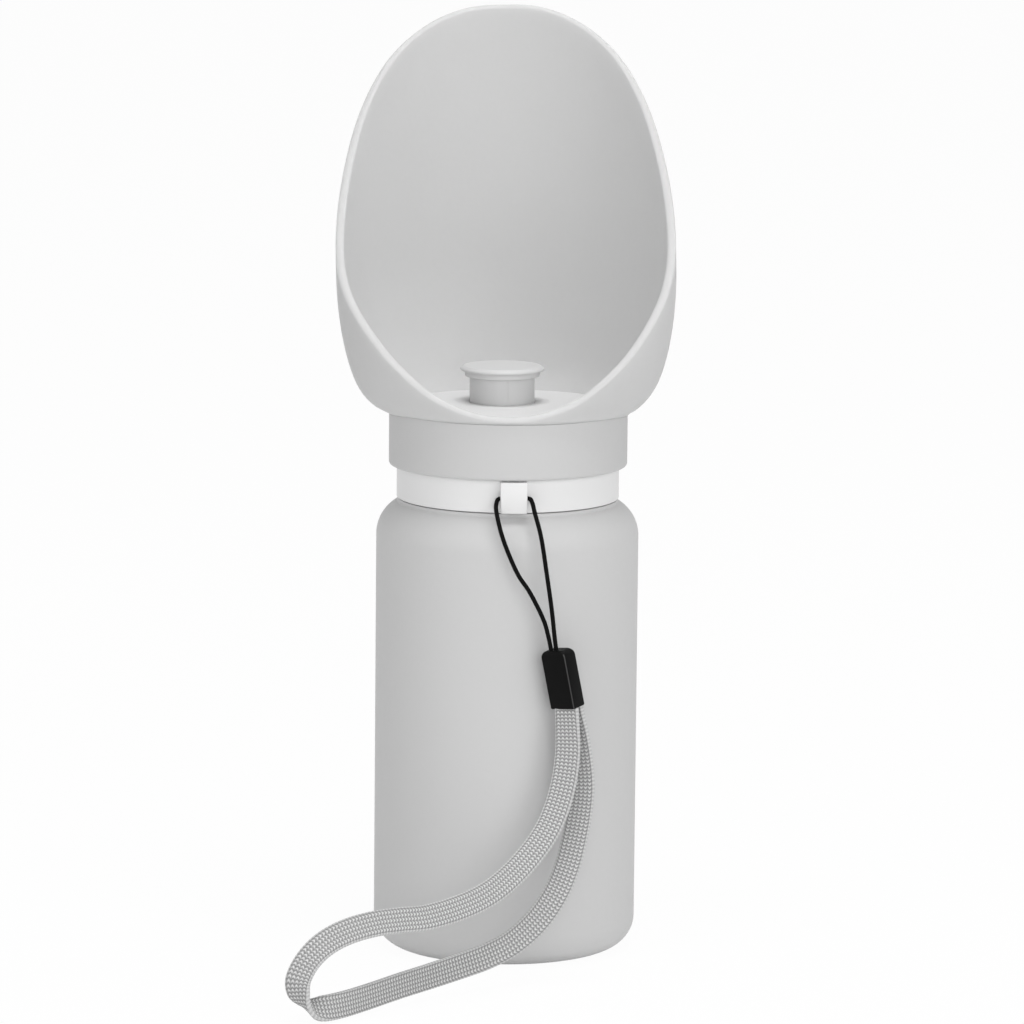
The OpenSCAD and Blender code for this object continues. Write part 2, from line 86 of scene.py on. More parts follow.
# %% Driving sizes
BOTTLE_R = 38.0
LEDGE_Z = 131.7
NECK_R = 29.0
NECK_TOP = 150.2
BAND_R = 34.5
BAND_Z = 141.5
FOOT_Z = 155.9
FOOT_TOP = 157.2
FLOOR_Z = 158.6
RING_R = 32.17
RING_Z = 132.0
VALVE_AT = (-1.9, 1.5)
print("bottle is", 2 * BOTTLE_R, "mm wide, floor of the scoop at", FLOOR_Z, "mm")

# %% [markdown]
# ## A smooth line through a few points
# The cord and the webbing follow listed points. A smooth curve is passed through
# them, and then resampled at an even gap, so that braid and stitches keep one size all
# along it. The same rule and the same points make the plain solids of the CAD model.

# %% Curve through points
def curve_at(p, i, t):
    """Point or value at share t of span i of a smooth curve through the rows of p."""
    a, b = p[max(i - 1, 0)], p[i]
    c, d = p[i + 1], p[min(i + 2, len(p) - 1)]
    return 0.5 * (2 * b + (c - a) * t + (2 * a - 5 * b + 4 * c - d) * t * t
                  + (3 * b - a - 3 * c + d) * t * t * t)


def trace(p, steps):
    line = [curve_at(p, i, k / steps) for i in range(len(p) - 1) for k in range(steps)]
    return line + [p[-1]]


def evenly(line, sides, gap):
    """Points every gap along a line, with the side direction and the run at each."""
    run = [0.0]
    for a, b in zip(line, line[1:]):
        run.append(run[-1] + (b - a).length)
    count = round(run[-1] / gap)
    out, kept, at, j = [], [], [], 0
    for i in range(count + 1):
        s = run[-1] * i / count
        while j < len(run) - 2 and run[j + 1] < s:
            j += 1
        t = (s - run[j]) / max(run[j + 1] - run[j], 1e-9)
        out.append(line[j].lerp(line[j + 1], t))
        kept.append(sides[j].lerp(sides[j + 1], t))
        at.append(s)
    return out, kept, at


print("half way between 1 and 2 on a straight run is", curve_at([0, 1, 2, 3], 1, 0.5))

# %% [markdown]
# ## A section carried along a line
# A strip needs to know which way its wide side points. Each point of the line carries a
# side direction. It is made square to the line, and the third direction is square to
# both, which gives a small frame at each point. The section is drawn in that frame.

# %% Sweep helpers
def frames(line, sides):
    """The directions along, to the side of and over a line at each of its points."""
    out, last = [], len(line) - 1
    for i in range(len(line)):
        along = (line[min(i + 1, last)] - line[max(i - 1, 0)]).normalized()
        side = (sides[i] - along * sides[i].dot(along)).normalized()
        out.append((along, side, along.cross(side)))
    return out


def side_faces(rings, count):
    """Faces between neighbouring rings of a skin, where each ring has count points."""
    return [[i * count + k, i * count + m, (i + 1) * count + m, (i + 1) * count + k]
            for i in range(rings - 1) for k, m in zip(range(count), [*range(1, count), 0])]


def sweep(line, sides, at, section, across_at):
    """Points, faces and coordinates of a closed section carried along a line."""
    count, points, spots = len(section(0)), [], []
    for p, s, (along, side, over) in zip(line, at, frames(line, sides)):
        for q, (x, y) in enumerate(section(s)):
            points.append(p + side * x + over * y)
            spots.append((s, across_at(q)))
    start, end = range(count), range(len(points) - count, len(points))
    return points, [list(start)[::-1]] + side_faces(len(line), count) + [list(end)], spots


def strip_piece(name, points, faces, spots, slot, wrap=0):
    """A swept piece with its coordinates, in millimetres, kept as a UV map."""
    mesh = bpy.data.meshes.new(name)
    mesh.from_pydata([p * MM for p in points], [], faces)
    chart = mesh.uv_layers.new(name="run")
    for face in mesh.polygons:
        across = [spots[v][1] for v in face.vertices]
        for loop, v in zip(face.loop_indices, face.vertices):
            s, a = spots[v]
            if wrap and max(across) - min(across) > wrap / 2 and a < wrap / 2:
                a += wrap
            chart.data[loop].uv = (s, a)
    mesh.shade_smooth()
    piece = placed(name, mesh)
    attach(piece, "strap")
    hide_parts(name.replace("loop_", "strap_"))
    print(name, len(mesh.polygons), "faces")
    return piece


print("strips ride on the strap body, with", sum(1 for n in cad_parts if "strap" in n), "CAD nodes")

# %% [markdown]
# ## The thin black cord
# A braided cord a bit over a millimetre thick leaves the crimp, passes behind the bridge
# of the ring's lug and comes back down. It has a fixed length, so its route is drawn once
# and swept with a round section. A curve object would do, but a mesh keeps coordinates
# along and round the cord, which the braid needs. Each row is a place across, how far it
# stands out from the bottle or from the ring, and a height, in metres.

# %% Cord route and tube
CORD_D = 1.25
CORD_SIDES = 20
CORD_STEPS = 12
CORD_GAP = 0.4
CORD_UP = [(0.0131, 0.0040, 0.0926), (0.0120, 0.0037, 0.0980), (0.0104, 0.0033, 0.1032),
           (0.0066, 0.0029, 0.1106), (0.0033, 0.0028, 0.1155), (0.0005, 0.0025, 0.1215),
           (-0.0016, 0.0016, 0.1271)]
CORD_BEHIND = [(-0.0031, 0.0041, 0.1328), (-0.0031, 0.0020, 0.1354), (-0.0021, 0.0008, 0.1363),
               (0.0018, 0.00072, 0.1364), (0.0059, 0.00045, 0.1364), (0.0070, 0.0021, 0.1355),
               (0.0078, 0.0046, 0.1328)]
CORD_DOWN = [(0.0097, 0.0020, 0.1261), (0.0114, 0.0031, 0.1156), (0.0128, 0.0035, 0.1062),
             (0.0138, 0.0040, 0.0976), (0.0145, 0.0042, 0.0926)]


def in_front(rows, radius):
    """Points in millimetres that stand out by a given amount in front of a radius."""
    return [Vector((x / MM, -radius - out / MM, z / MM)) for x, out, z in rows]


def round_section(s):
    """The cord's section, which is the same at every place s."""
    turn = 2 * math.pi / CORD_SIDES
    return [(math.cos(k * turn) * CORD_D / 2, math.sin(k * turn) * CORD_D / 2)
            for k in range(CORD_SIDES)]


cord_route = in_front(CORD_UP, BOTTLE_R) + in_front(CORD_BEHIND, RING_R) + in_front(CORD_DOWN, BOTTLE_R)
cord_line = trace(cord_route, CORD_STEPS)
cord_line, cord_side, cord_at = evenly(cord_line, [Vector((0, 1, 0))] * len(cord_line), CORD_GAP)
cord = strip_piece("loop_cord", *sweep(cord_line, cord_side, cord_at, round_section,
                                       lambda q: q / CORD_SIDES), "black_cord", wrap=1)
print("cord is", round(cord_at[-1], 1), "mm long")

# %% [markdown]
# ## Where the webbing runs
# The wrist loop leaves the crimp, swings out to the side and to the front, lies on the
# ground and comes back up behind itself. Each row is a place in metres as for the cord,
# then the direction of the strip's wide side, which lets the strip twist as cloth does.

# %% Webbing route
WEB_ROWS = [
    (0.0173, 0.0049, 0.0794, -0.84, 0.55, 0), (0.0177, 0.0056, 0.0724, -0.89, 0.45, 0),
    (0.0178, 0.0064, 0.0653, -0.94, 0.32, 0.05), (0.0170, 0.0076, 0.0580, -0.93, 0.28, 0.2),
    (0.0153, 0.0094, 0.0511, -0.88, 0.3, 0.35), (0.0125, 0.0122, 0.0444, -0.78, 0.32, 0.5),
    (0.0082, 0.0162, 0.0384, -0.65, 0.35, 0.65), (0.0023, 0.0216, 0.0327, -0.55, 0.35, 0.75),
    (-0.0042, 0.0280, 0.0286, -0.42, 0.35, 0.85), (-0.0119, 0.0352, 0.0262, -0.3, 0.38, 0.88),
    (-0.0211, 0.0430, 0.0249, -0.12, 0.5, 0.85), (-0.0289, 0.0490, 0.0253, -0.1, 0.5, 0.85),
    (-0.0360, 0.0545, 0.0254, -0.3, 0.42, 0.85), (-0.0433, 0.0598, 0.0243, -0.5, 0.32, 0.8),
    (-0.0494, 0.0642, 0.0218, -0.68, 0.3, 0.62), (-0.0539, 0.0674, 0.0178, -0.88, 0.3, 0.3),
    (-0.0565, 0.0696, 0.0130, -0.95, 0.3, 0.08), (-0.0564, 0.0702, 0.0089, -0.8, 0.58, 0),
    (-0.0549, 0.0696, 0.0058, -0.5, 0.85, 0.05), (-0.0523, 0.0683, 0.0042, -0.25, 0.75, 0.5),
    (-0.0486, 0.0662, 0.0041, -0.1, 0.4, 0.9), (-0.0435, 0.0611, 0.0042, -0.03, 0.2, 1),
    (-0.0371, 0.0534, 0.0046, 0, 0.12, 1), (-0.0288, 0.0445, 0.0056, 0, 0.1, 1),
    (-0.0205, 0.0357, 0.0064, -0.03, 0.1, 1), (-0.0122, 0.0290, 0.0078, -0.08, 0.1, 1),
    (-0.0046, 0.0245, 0.0097, -0.18, 0.12, 0.98), (0.0027, 0.0206, 0.0129, -0.35, 0.12, 0.93),
    (0.0095, 0.0168, 0.0184, -0.55, 0.15, 0.82), (0.0146, 0.0132, 0.0252, -0.75, 0.18, 0.62),
    (0.0179, 0.0100, 0.0324, -0.86, 0.2, 0.42), (0.0200, 0.0074, 0.0400, -0.92, 0.22, 0.25),
    (0.0214, 0.0054, 0.0475, -0.94, 0.25, 0.12), (0.0220, 0.0042, 0.0548, -0.95, 0.27, 0.03),
    (0.0215, 0.0035, 0.0619, -0.94, 0.32, 0), (0.0205, 0.0030, 0.0690, -0.91, 0.41, 0),
    (0.0192, 0.0029, 0.0754, -0.86, 0.51, 0), (0.0185, 0.0030, 0.0792, -0.84, 0.55, 0)]
WEB_STEPS = 16
WEB_GAP = 0.2

web_line = trace(in_front([row[:3] for row in WEB_ROWS], BOTTLE_R), WEB_STEPS)
web_side = trace([Vector(row[3:]) for row in WEB_ROWS], WEB_STEPS)
web_line, web_side, web_at = evenly(web_line, web_side, WEB_GAP)
print("webbing is", round(web_at[-1], 1), "mm long, in", len(web_line), "rings")

# %% [markdown]
# ## The knit of the webbing
# Close up, the webbing is knitted: columns of small V stitches run along it, and each side
# ends in a firm bead with a narrow groove beside it. At this size the stitches catch the
# light, so they are real relief in the mesh. One function gives the height of the knit at
# any place: a wave along the strip that runs ahead in the middle of each column, which
# bends it into Vs, and that sinks between the columns.

# %% Height of the knit
WEB_W = 7.4
WEB_T = 1.7
STITCH_LONG = 1.06
COLUMN = 1.23
PEAK = 0.45
VALLEY = 0.15
STITCH_H = 0.22
EDGE_BEAD = 0.32
GROOVE_W = 0.15
BEAD_AT = WEB_W / 2 - EDGE_BEAD
FIELD = BEAD_AT - GROOVE_W


def stitch(s, x):
    """Height of the knit, 0 to 1, at s along and x across the webbing."""
    column = x / COLUMN + 0.5
    column -= math.floor(column)
    peak = 1 - abs(2 * column - 1)
    strand = 0.5 + 0.5 * math.cos(2 * math.pi * (s / STITCH_LONG + PEAK * peak))
    return strand * (VALLEY + (1 - VALLEY) * math.sin(math.pi * column))


print("highest stitch", round(max(stitch(k / 50, 0.0) for k in range(60)), 2))

# %% [markdown]
# ## The webbing strip
# The strip's section goes along one face, round the bead, back along the other face and
# round the second bead. Its height follows the knit, so the section changes along the
# strip. The bead swells and narrows a little with each stitch, like a twisted edge yarn.

# %% Webbing strip
WEB_ACROSS = 26
STITCH_SINK = 0.7
BEAD_H = 0.8
BEAD_SWELL = 0.03
BEAD_ARC = 115
BEAD_STEPS = 5
face_x = [FIELD * (2 * k / WEB_ACROSS - 1) for k in range(WEB_ACROSS + 1)]
bead_turn = [math.radians(BEAD_ARC - 2 * BEAD_ARC * k / BEAD_STEPS) for k in range(BEAD_STEPS + 1)]


def web_section(s):
    """The webbing's section at s: upper face, bead, lower face and bead."""
    body = WEB_T / 2 - STITCH_H * STITCH_SINK
    swell = BEAD_SWELL * math.cos(2 * math.pi * s / STITCH_LONG)
    top = [(x, body + STITCH_H * stitch(s, x)) for x in face_x]
    low = [(x, -body - STITCH_H * stitch(s + STITCH_LONG / 2, -x)) for x in face_x[::-1]]
    bead = [((EDGE_BEAD + swell) * math.cos(a), (BEAD_H + swell) * math.sin(a)) for a in bead_turn]
    return top + [(BEAD_AT + x, y) for x, y in bead] + low + [(-BEAD_AT - x, -y) for x, y in bead]


rim = [WEB_W / 2] * len(bead_turn)
web_spots = face_x + rim + face_x[::-1] + [-x for x in rim]
webbing = strip_piece("loop_webbing", *sweep(web_line, web_side, web_at, web_section,
                                             lambda q: web_spots[q]), "grey_webbing")
print("section has", len(web_spots), "points")

# %% [markdown]
# ## Pieces from points
# Every other piece is made from a list of points and faces. The helper welds points that
# fall together, turns all faces outward, smooths the shading and puts the piece on the
# body of the frame that carries it.

# %% Make a piece
def piece_from(name, points, faces, body, slot, nodes=()):
    """A smooth mesh from points in millimetres, riding on a body of the frame."""
    mesh = bpy.data.meshes.new(name)
    mesh.from_pydata([Vector(p) * MM for p in points], [], faces)
    shape = bmesh.new()
    shape.from_mesh(mesh)
    bmesh.ops.remove_doubles(shape, verts=shape.verts, dist=1e-7)
    bmesh.ops.recalc_face_normals(shape, faces=shape.faces)
    shape.to_mesh(mesh)
    shape.free()
    mesh.shade_smooth()
    piece = placed(name, mesh)
    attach(piece, body)
    if nodes:
        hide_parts(*nodes)
    print(name, len(mesh.polygons), "faces")
    return piece


def loft(sections):
    """Points and faces of a closed skin over sections that have equal counts."""
    count, points = len(sections[0]), [p for ring in sections for p in ring]
    start, end = range(count), range(len(points) - count, len(points))
    return points, [list(start)] + side_faces(len(sections), count) + [list(end)[::-1]]


# %% [markdown]
# ## The crimp
# A small black block grips both ends of the cord and of the webbing. It is a loft: rounded
# rectangles stacked along its length. The top ones get narrower to round the two top
# corners, and the last ones turn inward at the bottom to leave a mouth for the webbing.
# The mouth's rows say how much narrower and thinner the block is, its corner radius and
# the height over its lower end. The long corners carry a painted highlight: they are a
# little lighter, as where their edges catch the light, so their faces take a second finish.

# %% Crimp loft
CRIMP_W = 9.0
CRIMP_D = 5.2
CRIMP_L = 17.0
CRIMP_TOP_ROUND = 2.0
CRIMP_SIDE_ROUND = 1.8
CRIMP_STEPS = 8
CRIMP_CORNER = 0.7
CRIMP_MOUTH = [(0, 0, CRIMP_CORNER, 0.3), (0.3, 0.3, 0.6, 0), (0.9, 0.8, 0.4, 0), (1.0, 0.9, 0.35, 1.2)]
CRIMP_AT = Vector((16.1, -41.9, 86.2))
CRIMP_LEAN = -11
CRIMP_TIP = 2
CRIMP_TURN = -40
CORNER_STEPS = 6
CORNER_SLANT = 0.5


def rectangle(width, depth, corner, z):
    """A rounded rectangle of points at height z."""
    out = []
    for cx, cy, start in [(1, 1, 0), (-1, 1, 90), (-1, -1, 180), (1, -1, 270)]:
        for k in range(CORNER_STEPS + 1):
            a = math.radians(start + 90 * k / CORNER_STEPS)
            out.append(Vector((cx * (width / 2 - corner) + corner * math.cos(a),
                               cy * (depth / 2 - corner) + corner * math.sin(a), z)))
    return out


def crimp_sections():
    """The crimp's sections from its rounded top to the inside of its mouth."""
    top, out = CRIMP_L / 2, []
    for k in range(CRIMP_STEPS + 1):
        a = math.radians(90 * (1 - k / CRIMP_STEPS))
        width = CRIMP_W - 2 * CRIMP_TOP_ROUND * (1 - math.cos(a))
        depth = CRIMP_D - CRIMP_SIDE_ROUND * (1 - math.cos(a))
        out.append(rectangle(width, depth, CRIMP_CORNER, top - CRIMP_TOP_ROUND * (1 - math.sin(a))))
    for narrow, thin, corner, up in CRIMP_MOUTH:
        out.append(rectangle(CRIMP_W - narrow, CRIMP_D - thin, corner, up - top))
    return out


crimp_way = Matrix.Identity(3)
for angle, axis in ((CRIMP_LEAN, "Y"), (CRIMP_TIP, "X"), (CRIMP_TURN, "Z")):
    crimp_way = crimp_way @ Matrix.Rotation(math.radians(angle), 3, axis)
crimp_points, crimp_faces = loft(crimp_sections())
crimp = piece_from("cord_crimp", [CRIMP_AT + crimp_way @ p for p in crimp_points],
                   crimp_faces, "strap", "black_plastic", ["strap_crimp"])


def on_corner(face):
    """True for the middle faces of the four long corners of the crimp."""
    way = crimp_way.inverted() @ face.normal
    return min(abs(way.x), abs(way.y)) > CORNER_SLANT


# The long corner faces get a painted highlight, lighter where their edges catch the light.
highlit = [face.index for face in crimp.data.polygons if on_corner(face)]
print("rubbed faces", len(highlit))

# %% [markdown]
# ## The lathe
# Most moulded pieces are turned, so one lathe makes them all: it turns an outline round
# the bottle's axis, or round the valve's own axis, which stands a little off it. Sharp
# corners don't exist on moulded plastic, so each corner of an outline carries its own
# radius, and a helper swaps it for a small arc.

# %% Outlines and the lathe
LATHE_SIDES = 160


def rounded(corners, steps=6):
    """Swaps each corner (x, z, radius) of an open outline for an arc."""
    line = []
    for i, (x, z, radius) in enumerate(corners):
        here = Vector((x, z))
        if radius <= 0 or i in (0, len(corners) - 1):
            line.append(here)
            continue
        back, ahead = Vector(corners[i - 1][:2]) - here, Vector(corners[i + 1][:2]) - here
        half = back.angle(ahead) / 2
        reach = min(radius / math.tan(half), back.length * 0.49, ahead.length * 0.49)
        start, end = here + back.normalized() * reach, here + ahead.normalized() * reach
        for k in range(steps + 1):
            t = k / steps
            line.append(start.lerp(here, t).lerp(here.lerp(end, t), t))
    return line


def lathe(outline, closed=True, shift=lambda r: 0):
    """Points and faces of an outline of (radius, height) turned round the Z axis.
    Shift gives the share of the valve's offset that a ring of radius r takes."""
    points, rings = [], []
    for r, z in outline:
        dx, dy = (v * shift(r) for v in VALVE_AT)
        if r < 1e-6:
            rings.append([len(points)] * LATHE_SIDES)
            points.append((dx, dy, z))
            continue
        rings.append(list(range(len(points), len(points) + LATHE_SIDES)))
        for k in range(LATHE_SIDES):
            a = 2 * math.pi * k / LATHE_SIDES
            points.append((dx + r * math.cos(a), dy + r * math.sin(a), z))
    faces = []
    for i in range(len(rings) if closed else len(rings) - 1):
        low, high = rings[i], rings[(i + 1) % len(rings)]
        for k in range(LATHE_SIDES):
            m = (k + 1) % LATHE_SIDES
            face = list(dict.fromkeys([low[k], low[m], high[m], high[k]]))
            if len(face) > 2:
                faces.append(face)
    return points, faces


print("one turned ring has", LATHE_SIDES, "points")

# %% [markdown]
# ## The bottle
# The body is one turned wall, thick enough to see at the neck when the lid is off. The
# base and shoulder are true arcs. A small step on the shoulder carries the ring, and a
# collar above it keeps the ring in place while it turns.

# %% Bottle wall
BOTTLE_WALL = 1.8
BASE_ROUND = 8.9
SHOULDER_ROUND = 11.0
SHOULDER_C = BOTTLE_R - SHOULDER_ROUND
SHOULDER_Z = 120.9
LEDGE_R = 31.87
COLLAR_R = 30.5
COLLAR_H = 6.0
NECK_IN = NECK_R - BOTTLE_WALL


def arc(cx, cz, radius, start, end, steps=14):
    angles = [math.radians(start + (end - start) * k / steps) for k in range(steps + 1)]
    return [(cx + radius * math.cos(a), cz + radius * math.sin(a)) for a in angles]


def bottle_outline():
    inner = SHOULDER_ROUND - BOTTLE_WALL
    ledge = math.degrees(math.acos((LEDGE_R - SHOULDER_C) / SHOULDER_ROUND))
    mouth = math.degrees(math.acos((NECK_IN - SHOULDER_C) / inner))
    mouth_z = SHOULDER_Z + inner * math.sin(math.radians(mouth))
    out = [(0, 0)] + arc(BOTTLE_R - BASE_ROUND, BASE_ROUND, BASE_ROUND, -90, 0)
    out += arc(SHOULDER_C, SHOULDER_Z, SHOULDER_ROUND, 0, ledge, 24)
    out += rounded([(*out[-1], 0), (LEDGE_R, LEDGE_Z, 0.25), (COLLAR_R, LEDGE_Z, 0.2),
                    (COLLAR_R, LEDGE_Z + COLLAR_H, 0.3), (NECK_R, LEDGE_Z + COLLAR_H, 0.3),
                    (NECK_R, NECK_TOP, 0.5), (NECK_IN, NECK_TOP, 0.5), (NECK_IN, mouth_z, 0)])[1:]
    out += arc(SHOULDER_C, SHOULDER_Z, inner, mouth, 0)[1:]
    out += arc(BOTTLE_R - BASE_ROUND, BASE_ROUND, BASE_ROUND - BOTTLE_WALL, 0, -90)
    return out + [(0, BOTTLE_WALL)]


bottle = piece_from("bottle_wall", *lathe(bottle_outline(), closed=False), "bottle", "soft_grey", ["bottle"])

# %% [markdown]
# ## The thread on the neck
# The thread is a ridge that winds round the neck. It is a trapezium wound up a helix, and
# its ends sink into the wall over a few degrees, as a moulded thread runs out. It shows
# only when the lid is screwed off.

# %% Neck thread
PITCH = 4.0
TURNS = 1.25
THREAD_H = 1.6
RIDGE_ROOT = 2.2
RIDGE_CREST = 1.0
RIDGE_BITE = 0.6
RIDGE_LEAD = 40
RIDGE_END = 0.15
RIDGE_STEP = 3
THREAD_Z = 144.0
THREAD_START = -200


def ridge():
    """Points and faces of the ridge, low at both ends."""
    rings, total = [], int(TURNS * 360)
    for a in range(0, total + 1, RIDGE_STEP):
        turn, z = math.radians(THREAD_START + a), THREAD_Z + PITCH * a / 360
        tip = NECK_R + THREAD_H * min(1, RIDGE_END + min(a, total - a) / RIDGE_LEAD)
        section = [(NECK_R - RIDGE_BITE, -RIDGE_ROOT / 2), (tip, -RIDGE_CREST / 2),
                   (tip, RIDGE_CREST / 2), (NECK_R - RIDGE_BITE, RIDGE_ROOT / 2)]
        rings.append([Vector((r * math.cos(turn), r * math.sin(turn), z + h)) for r, h in section])
    return loft(rings)


neck_thread = piece_from("neck_thread", *ridge(), "bottle", "soft_grey")
neck_thread.data.shade_flat()

# %% [markdown]
# ## The lid band
# The grey band is a turned skirt with a rounded lower edge. Its top edge isn't level: from
# the sides on it rises towards the front, where the silicone lip is low. So each point of
# the top edge is lifted by an amount that depends on its place round the lid.

# %% Seam line and lid band
SEAM_RISE = 1.7
SEAM_FROM = 85
SEAM_SPAN = 45
BAND_WALL = 2.0
BAND_ROUND = 1.8
CAP_TOP = 153.9
HUB_HOLE = 13.2
EDGE_IN = 0.7
SEAT_IN = 1.0
SEAT_STEP = 0.6
SLACK = 0.1


def smooth(t):
    t = min(max(t, 0), 1)
    return t * t * (3 - 2 * t)


def azimuth(x, y):
    """Degrees round from the back of the object, 180 at its front."""
    return abs(math.degrees(math.atan2(x, y)))


def seam_lift(az):
    """How far the seam between band and silicone rises at a place round the lid."""
    return SEAM_RISE * smooth((az - SEAM_FROM) / SEAM_SPAN)


seat = FOOT_Z - SEAT_STEP
band_outline = rounded([(BAND_R - BAND_WALL, CAP_TOP, 0), (BAND_R - BAND_WALL, BAND_Z, 0.4),
                        (BAND_R, BAND_Z, BAND_ROUND), (BAND_R, FOOT_Z, 0.35),
                        (BAND_R - EDGE_IN, FOOT_Z, 0), (BAND_R - SEAT_IN, seat, 0),
                        (HUB_HOLE, seat, 0), (HUB_HOLE, CAP_TOP, 0)])
band_points, band_faces = lathe(band_outline, shift=lambda r: 1 if r <= HUB_HOLE else 0)
for i, (x, y, z) in enumerate(band_points):
    if z > seat + SLACK and math.hypot(x, y) > BAND_R - EDGE_IN - SLACK:
        band_points[i] = (x, y, z + seam_lift(azimuth(x, y)))
band = piece_from("lid_band", band_points, band_faces, "lid", "band_grey", ["lid_shell"])

# %% [markdown]
# ## The rim of the scoop
# The scoop's rim runs from a low lip in front to a tall rounded back. Its height is given
# every 15 degrees from the back as a share of the tallest, and a smooth curve joins the
# steps. This line alone is what turns a bowl into a scoop.

# %% Rim height round the scoop
RIM_STEP = 15
RIM_BACK = 111.3
RIM_FRONT = 1.3
RIM_SHARES = [1, 0.99, 0.945, 0.865, 0.74, 0.58, 0.43, 0.325, 0.23, 0.13, 0.05, 0.01, 0]


def rim_height(az):
    """Height of the rim over the floor, az degrees round from the back."""
    a = min(az, 360 - az) / RIM_STEP
    i = min(int(a), len(RIM_SHARES) - 2)
    shares = [RIM_SHARES[abs(k)] if k < len(RIM_SHARES) else RIM_SHARES[2 * len(RIM_SHARES) - 2 - k]
              for k in range(i - 1, i + 3)]
    return RIM_FRONT + (RIM_BACK - RIM_FRONT) * curve_at(shares, 1, a - i)


print("rim height at the side", round(rim_height(90), 1), "mm")

# %% [markdown]
# ## The wall of the scoop
# From the side the scoop bulges out above its foot like a bowl, and it leans back and
# slightly to one side, as soft silicone does. The wall is a formula: for each place round
# and each height it gives the outer point and the direction straight out of the wall. The
# inner face is the outer one moved in by the wall's thickness.

# %% Scoop profile
BOWL_W = 98.1
BULGE = BOWL_W / 2 - BAND_R
RISE = 42.0
BOWL_WALL = 2.5
BACK_LEAN = 8.0
SIDE_LEAN = 2.9
TALL = 110.0
FRONT_KEEP = 0.35
SIDE_TILT = 0.03
TILT_EASE = 4
TILT_FRONT = 1.6
LEAN_CURVE = 1.5
FOOT_EASE = 2.3
FOOT_UPRIGHT = 12
POCKET_R = 33.45


def keep(az):
    """Share of the bulge that is left at a place round, less towards the front."""
    c = math.cos(math.radians(az))
    return 1 if c >= 0 else 1 + (FRONT_KEEP - 1) * smooth(-c)


def profile_angle(z):
    return math.acos(min(max(1 - (z - FOOT_Z) / RISE, 0), 1))


def outer_point(az, z):
    """The outer face at az degrees round from the back and at height z."""
    a, up = math.radians(az), z - FOOT_Z
    swell = BULGE * math.sin(profile_angle(z)) * (1 - math.exp(-up / FOOT_EASE))
    lean = max(z - FLOOR_Z, 0) / TALL
    tilt = SIDE_TILT * (1 - math.exp(-up / TILT_EASE)) * min(max(1 + TILT_FRONT * math.cos(a), 0), 1)
    x = math.sin(a) * (BAND_R + swell)
    y = math.cos(a) * (BAND_R + swell * keep(az)) + BACK_LEAN * lean ** LEAN_CURVE
    return Vector((x - SIDE_LEAN * lean, y, z + x * tilt))


def outward(az, z):
    """The direction out of the wall, which is level at the foot."""
    a, t = math.radians(az), profile_angle(z)
    reach = BULGE * (1 + (keep(az) - 1) * math.cos(a) ** 2)
    down = math.cos(t) / RISE * min(max((z - FOOT_Z) / FOOT_UPRIGHT, 0), 1)
    n = Vector((math.sin(t) / reach, -down)).normalized()
    return Vector((math.sin(a) * n.x, math.cos(a) * n.x, n.y))


def inner_point(az, z):
    """The inner face, which never comes closer to the axis than the floor's edge."""
    p = outer_point(az, z) - outward(az, z) * BOWL_WALL
    r = math.hypot(p.x, p.y)
    return Vector((p.x * POCKET_R / r, p.y * POCKET_R / r, p.z)) if r < POCKET_R else p


print("widest place of the scoop", round(2 * outer_point(90, 190).x, 1), "mm")

# %% [markdown]
# ## The scoop itself
# It is built as a grid: one direction goes round the axis, the other up the outside, over
# the rounded rim, down the inside and round the foot that the floor plate clamps. Rows lie
# closer together near the foot, where the wall curves most.

# %% Scoop mesh
BOWL_SIDES = 180
BOWL_ROWS = 44
RIM_ROWS = 11
OUTER_CROWD = 1.5
INNER_CROWD = 1.2
INNER_LOW = 158.0
SEAM_FADE = 2.6
SEAM_FOLLOW = 0.95
FOOT_IN = 27.0


def bowl_loop(az):
    """The scoop's closed section at az degrees round from the back."""
    top = FLOOR_Z + rim_height(az) - BOWL_WALL / 2
    out, a = outward(az, top), math.radians(az)
    mid = outer_point(az, top) - out * BOWL_WALL / 2
    up = Vector((-math.sin(a) * out.z, -math.cos(a) * out.z, math.hypot(out.x, out.y))).normalized()
    lift = seam_lift(az if az <= 180 else 360 - az)
    ring = []
    for i in range(BOWL_ROWS + 1):
        p = outer_point(az, FOOT_Z + (top - FOOT_Z) * (i / BOWL_ROWS) ** OUTER_CROWD)
        ring.append(p + Vector((0, 0, lift * SEAM_FOLLOW * max(0, 1 - (p.z - FOOT_Z) / SEAM_FADE))))
    for k in range(1, RIM_ROWS + 1):
        f = math.pi * k / (RIM_ROWS + 1)
        ring.append(mid + (out * math.cos(f) + up * math.sin(f)) * BOWL_WALL / 2)
    for i in range(BOWL_ROWS, -1, -1):
        ring.append(inner_point(az, INNER_LOW + (top - INNER_LOW) * (i / BOWL_ROWS) ** INNER_CROWD))
    for r, z in [(POCKET_R, FOOT_TOP), (FOOT_IN, FOOT_TOP), (FOOT_IN, FOOT_Z)]:
        ring.append(Vector((math.sin(a) * r, math.cos(a) * r, z)))
    return ring


bowl_loops = [bowl_loop(i * 360 / BOWL_SIDES) for i in range(BOWL_SIDES)]
loop_count = len(bowl_loops[0])
bowl_count = BOWL_SIDES * loop_count
bowl_faces = [[i % bowl_count for i in face] for face in side_faces(BOWL_SIDES + 1, loop_count)]
bowl = piece_from("silicone_scoop", [p for ring in bowl_loops for p in ring], bowl_faces,
                  "lid", "bowl_silicone", ["drinking_bowl"])

# %% [markdown]
# ## The floor plate
# The pale plate is the floor of the scoop. It rises slightly towards the valve so that
# water runs off, and a hub below it snaps into the lid and guides the valve. Its rim is
# round the bottle's axis and its hub round the valve's, so the rings in between slide
# over from one centre to the other.

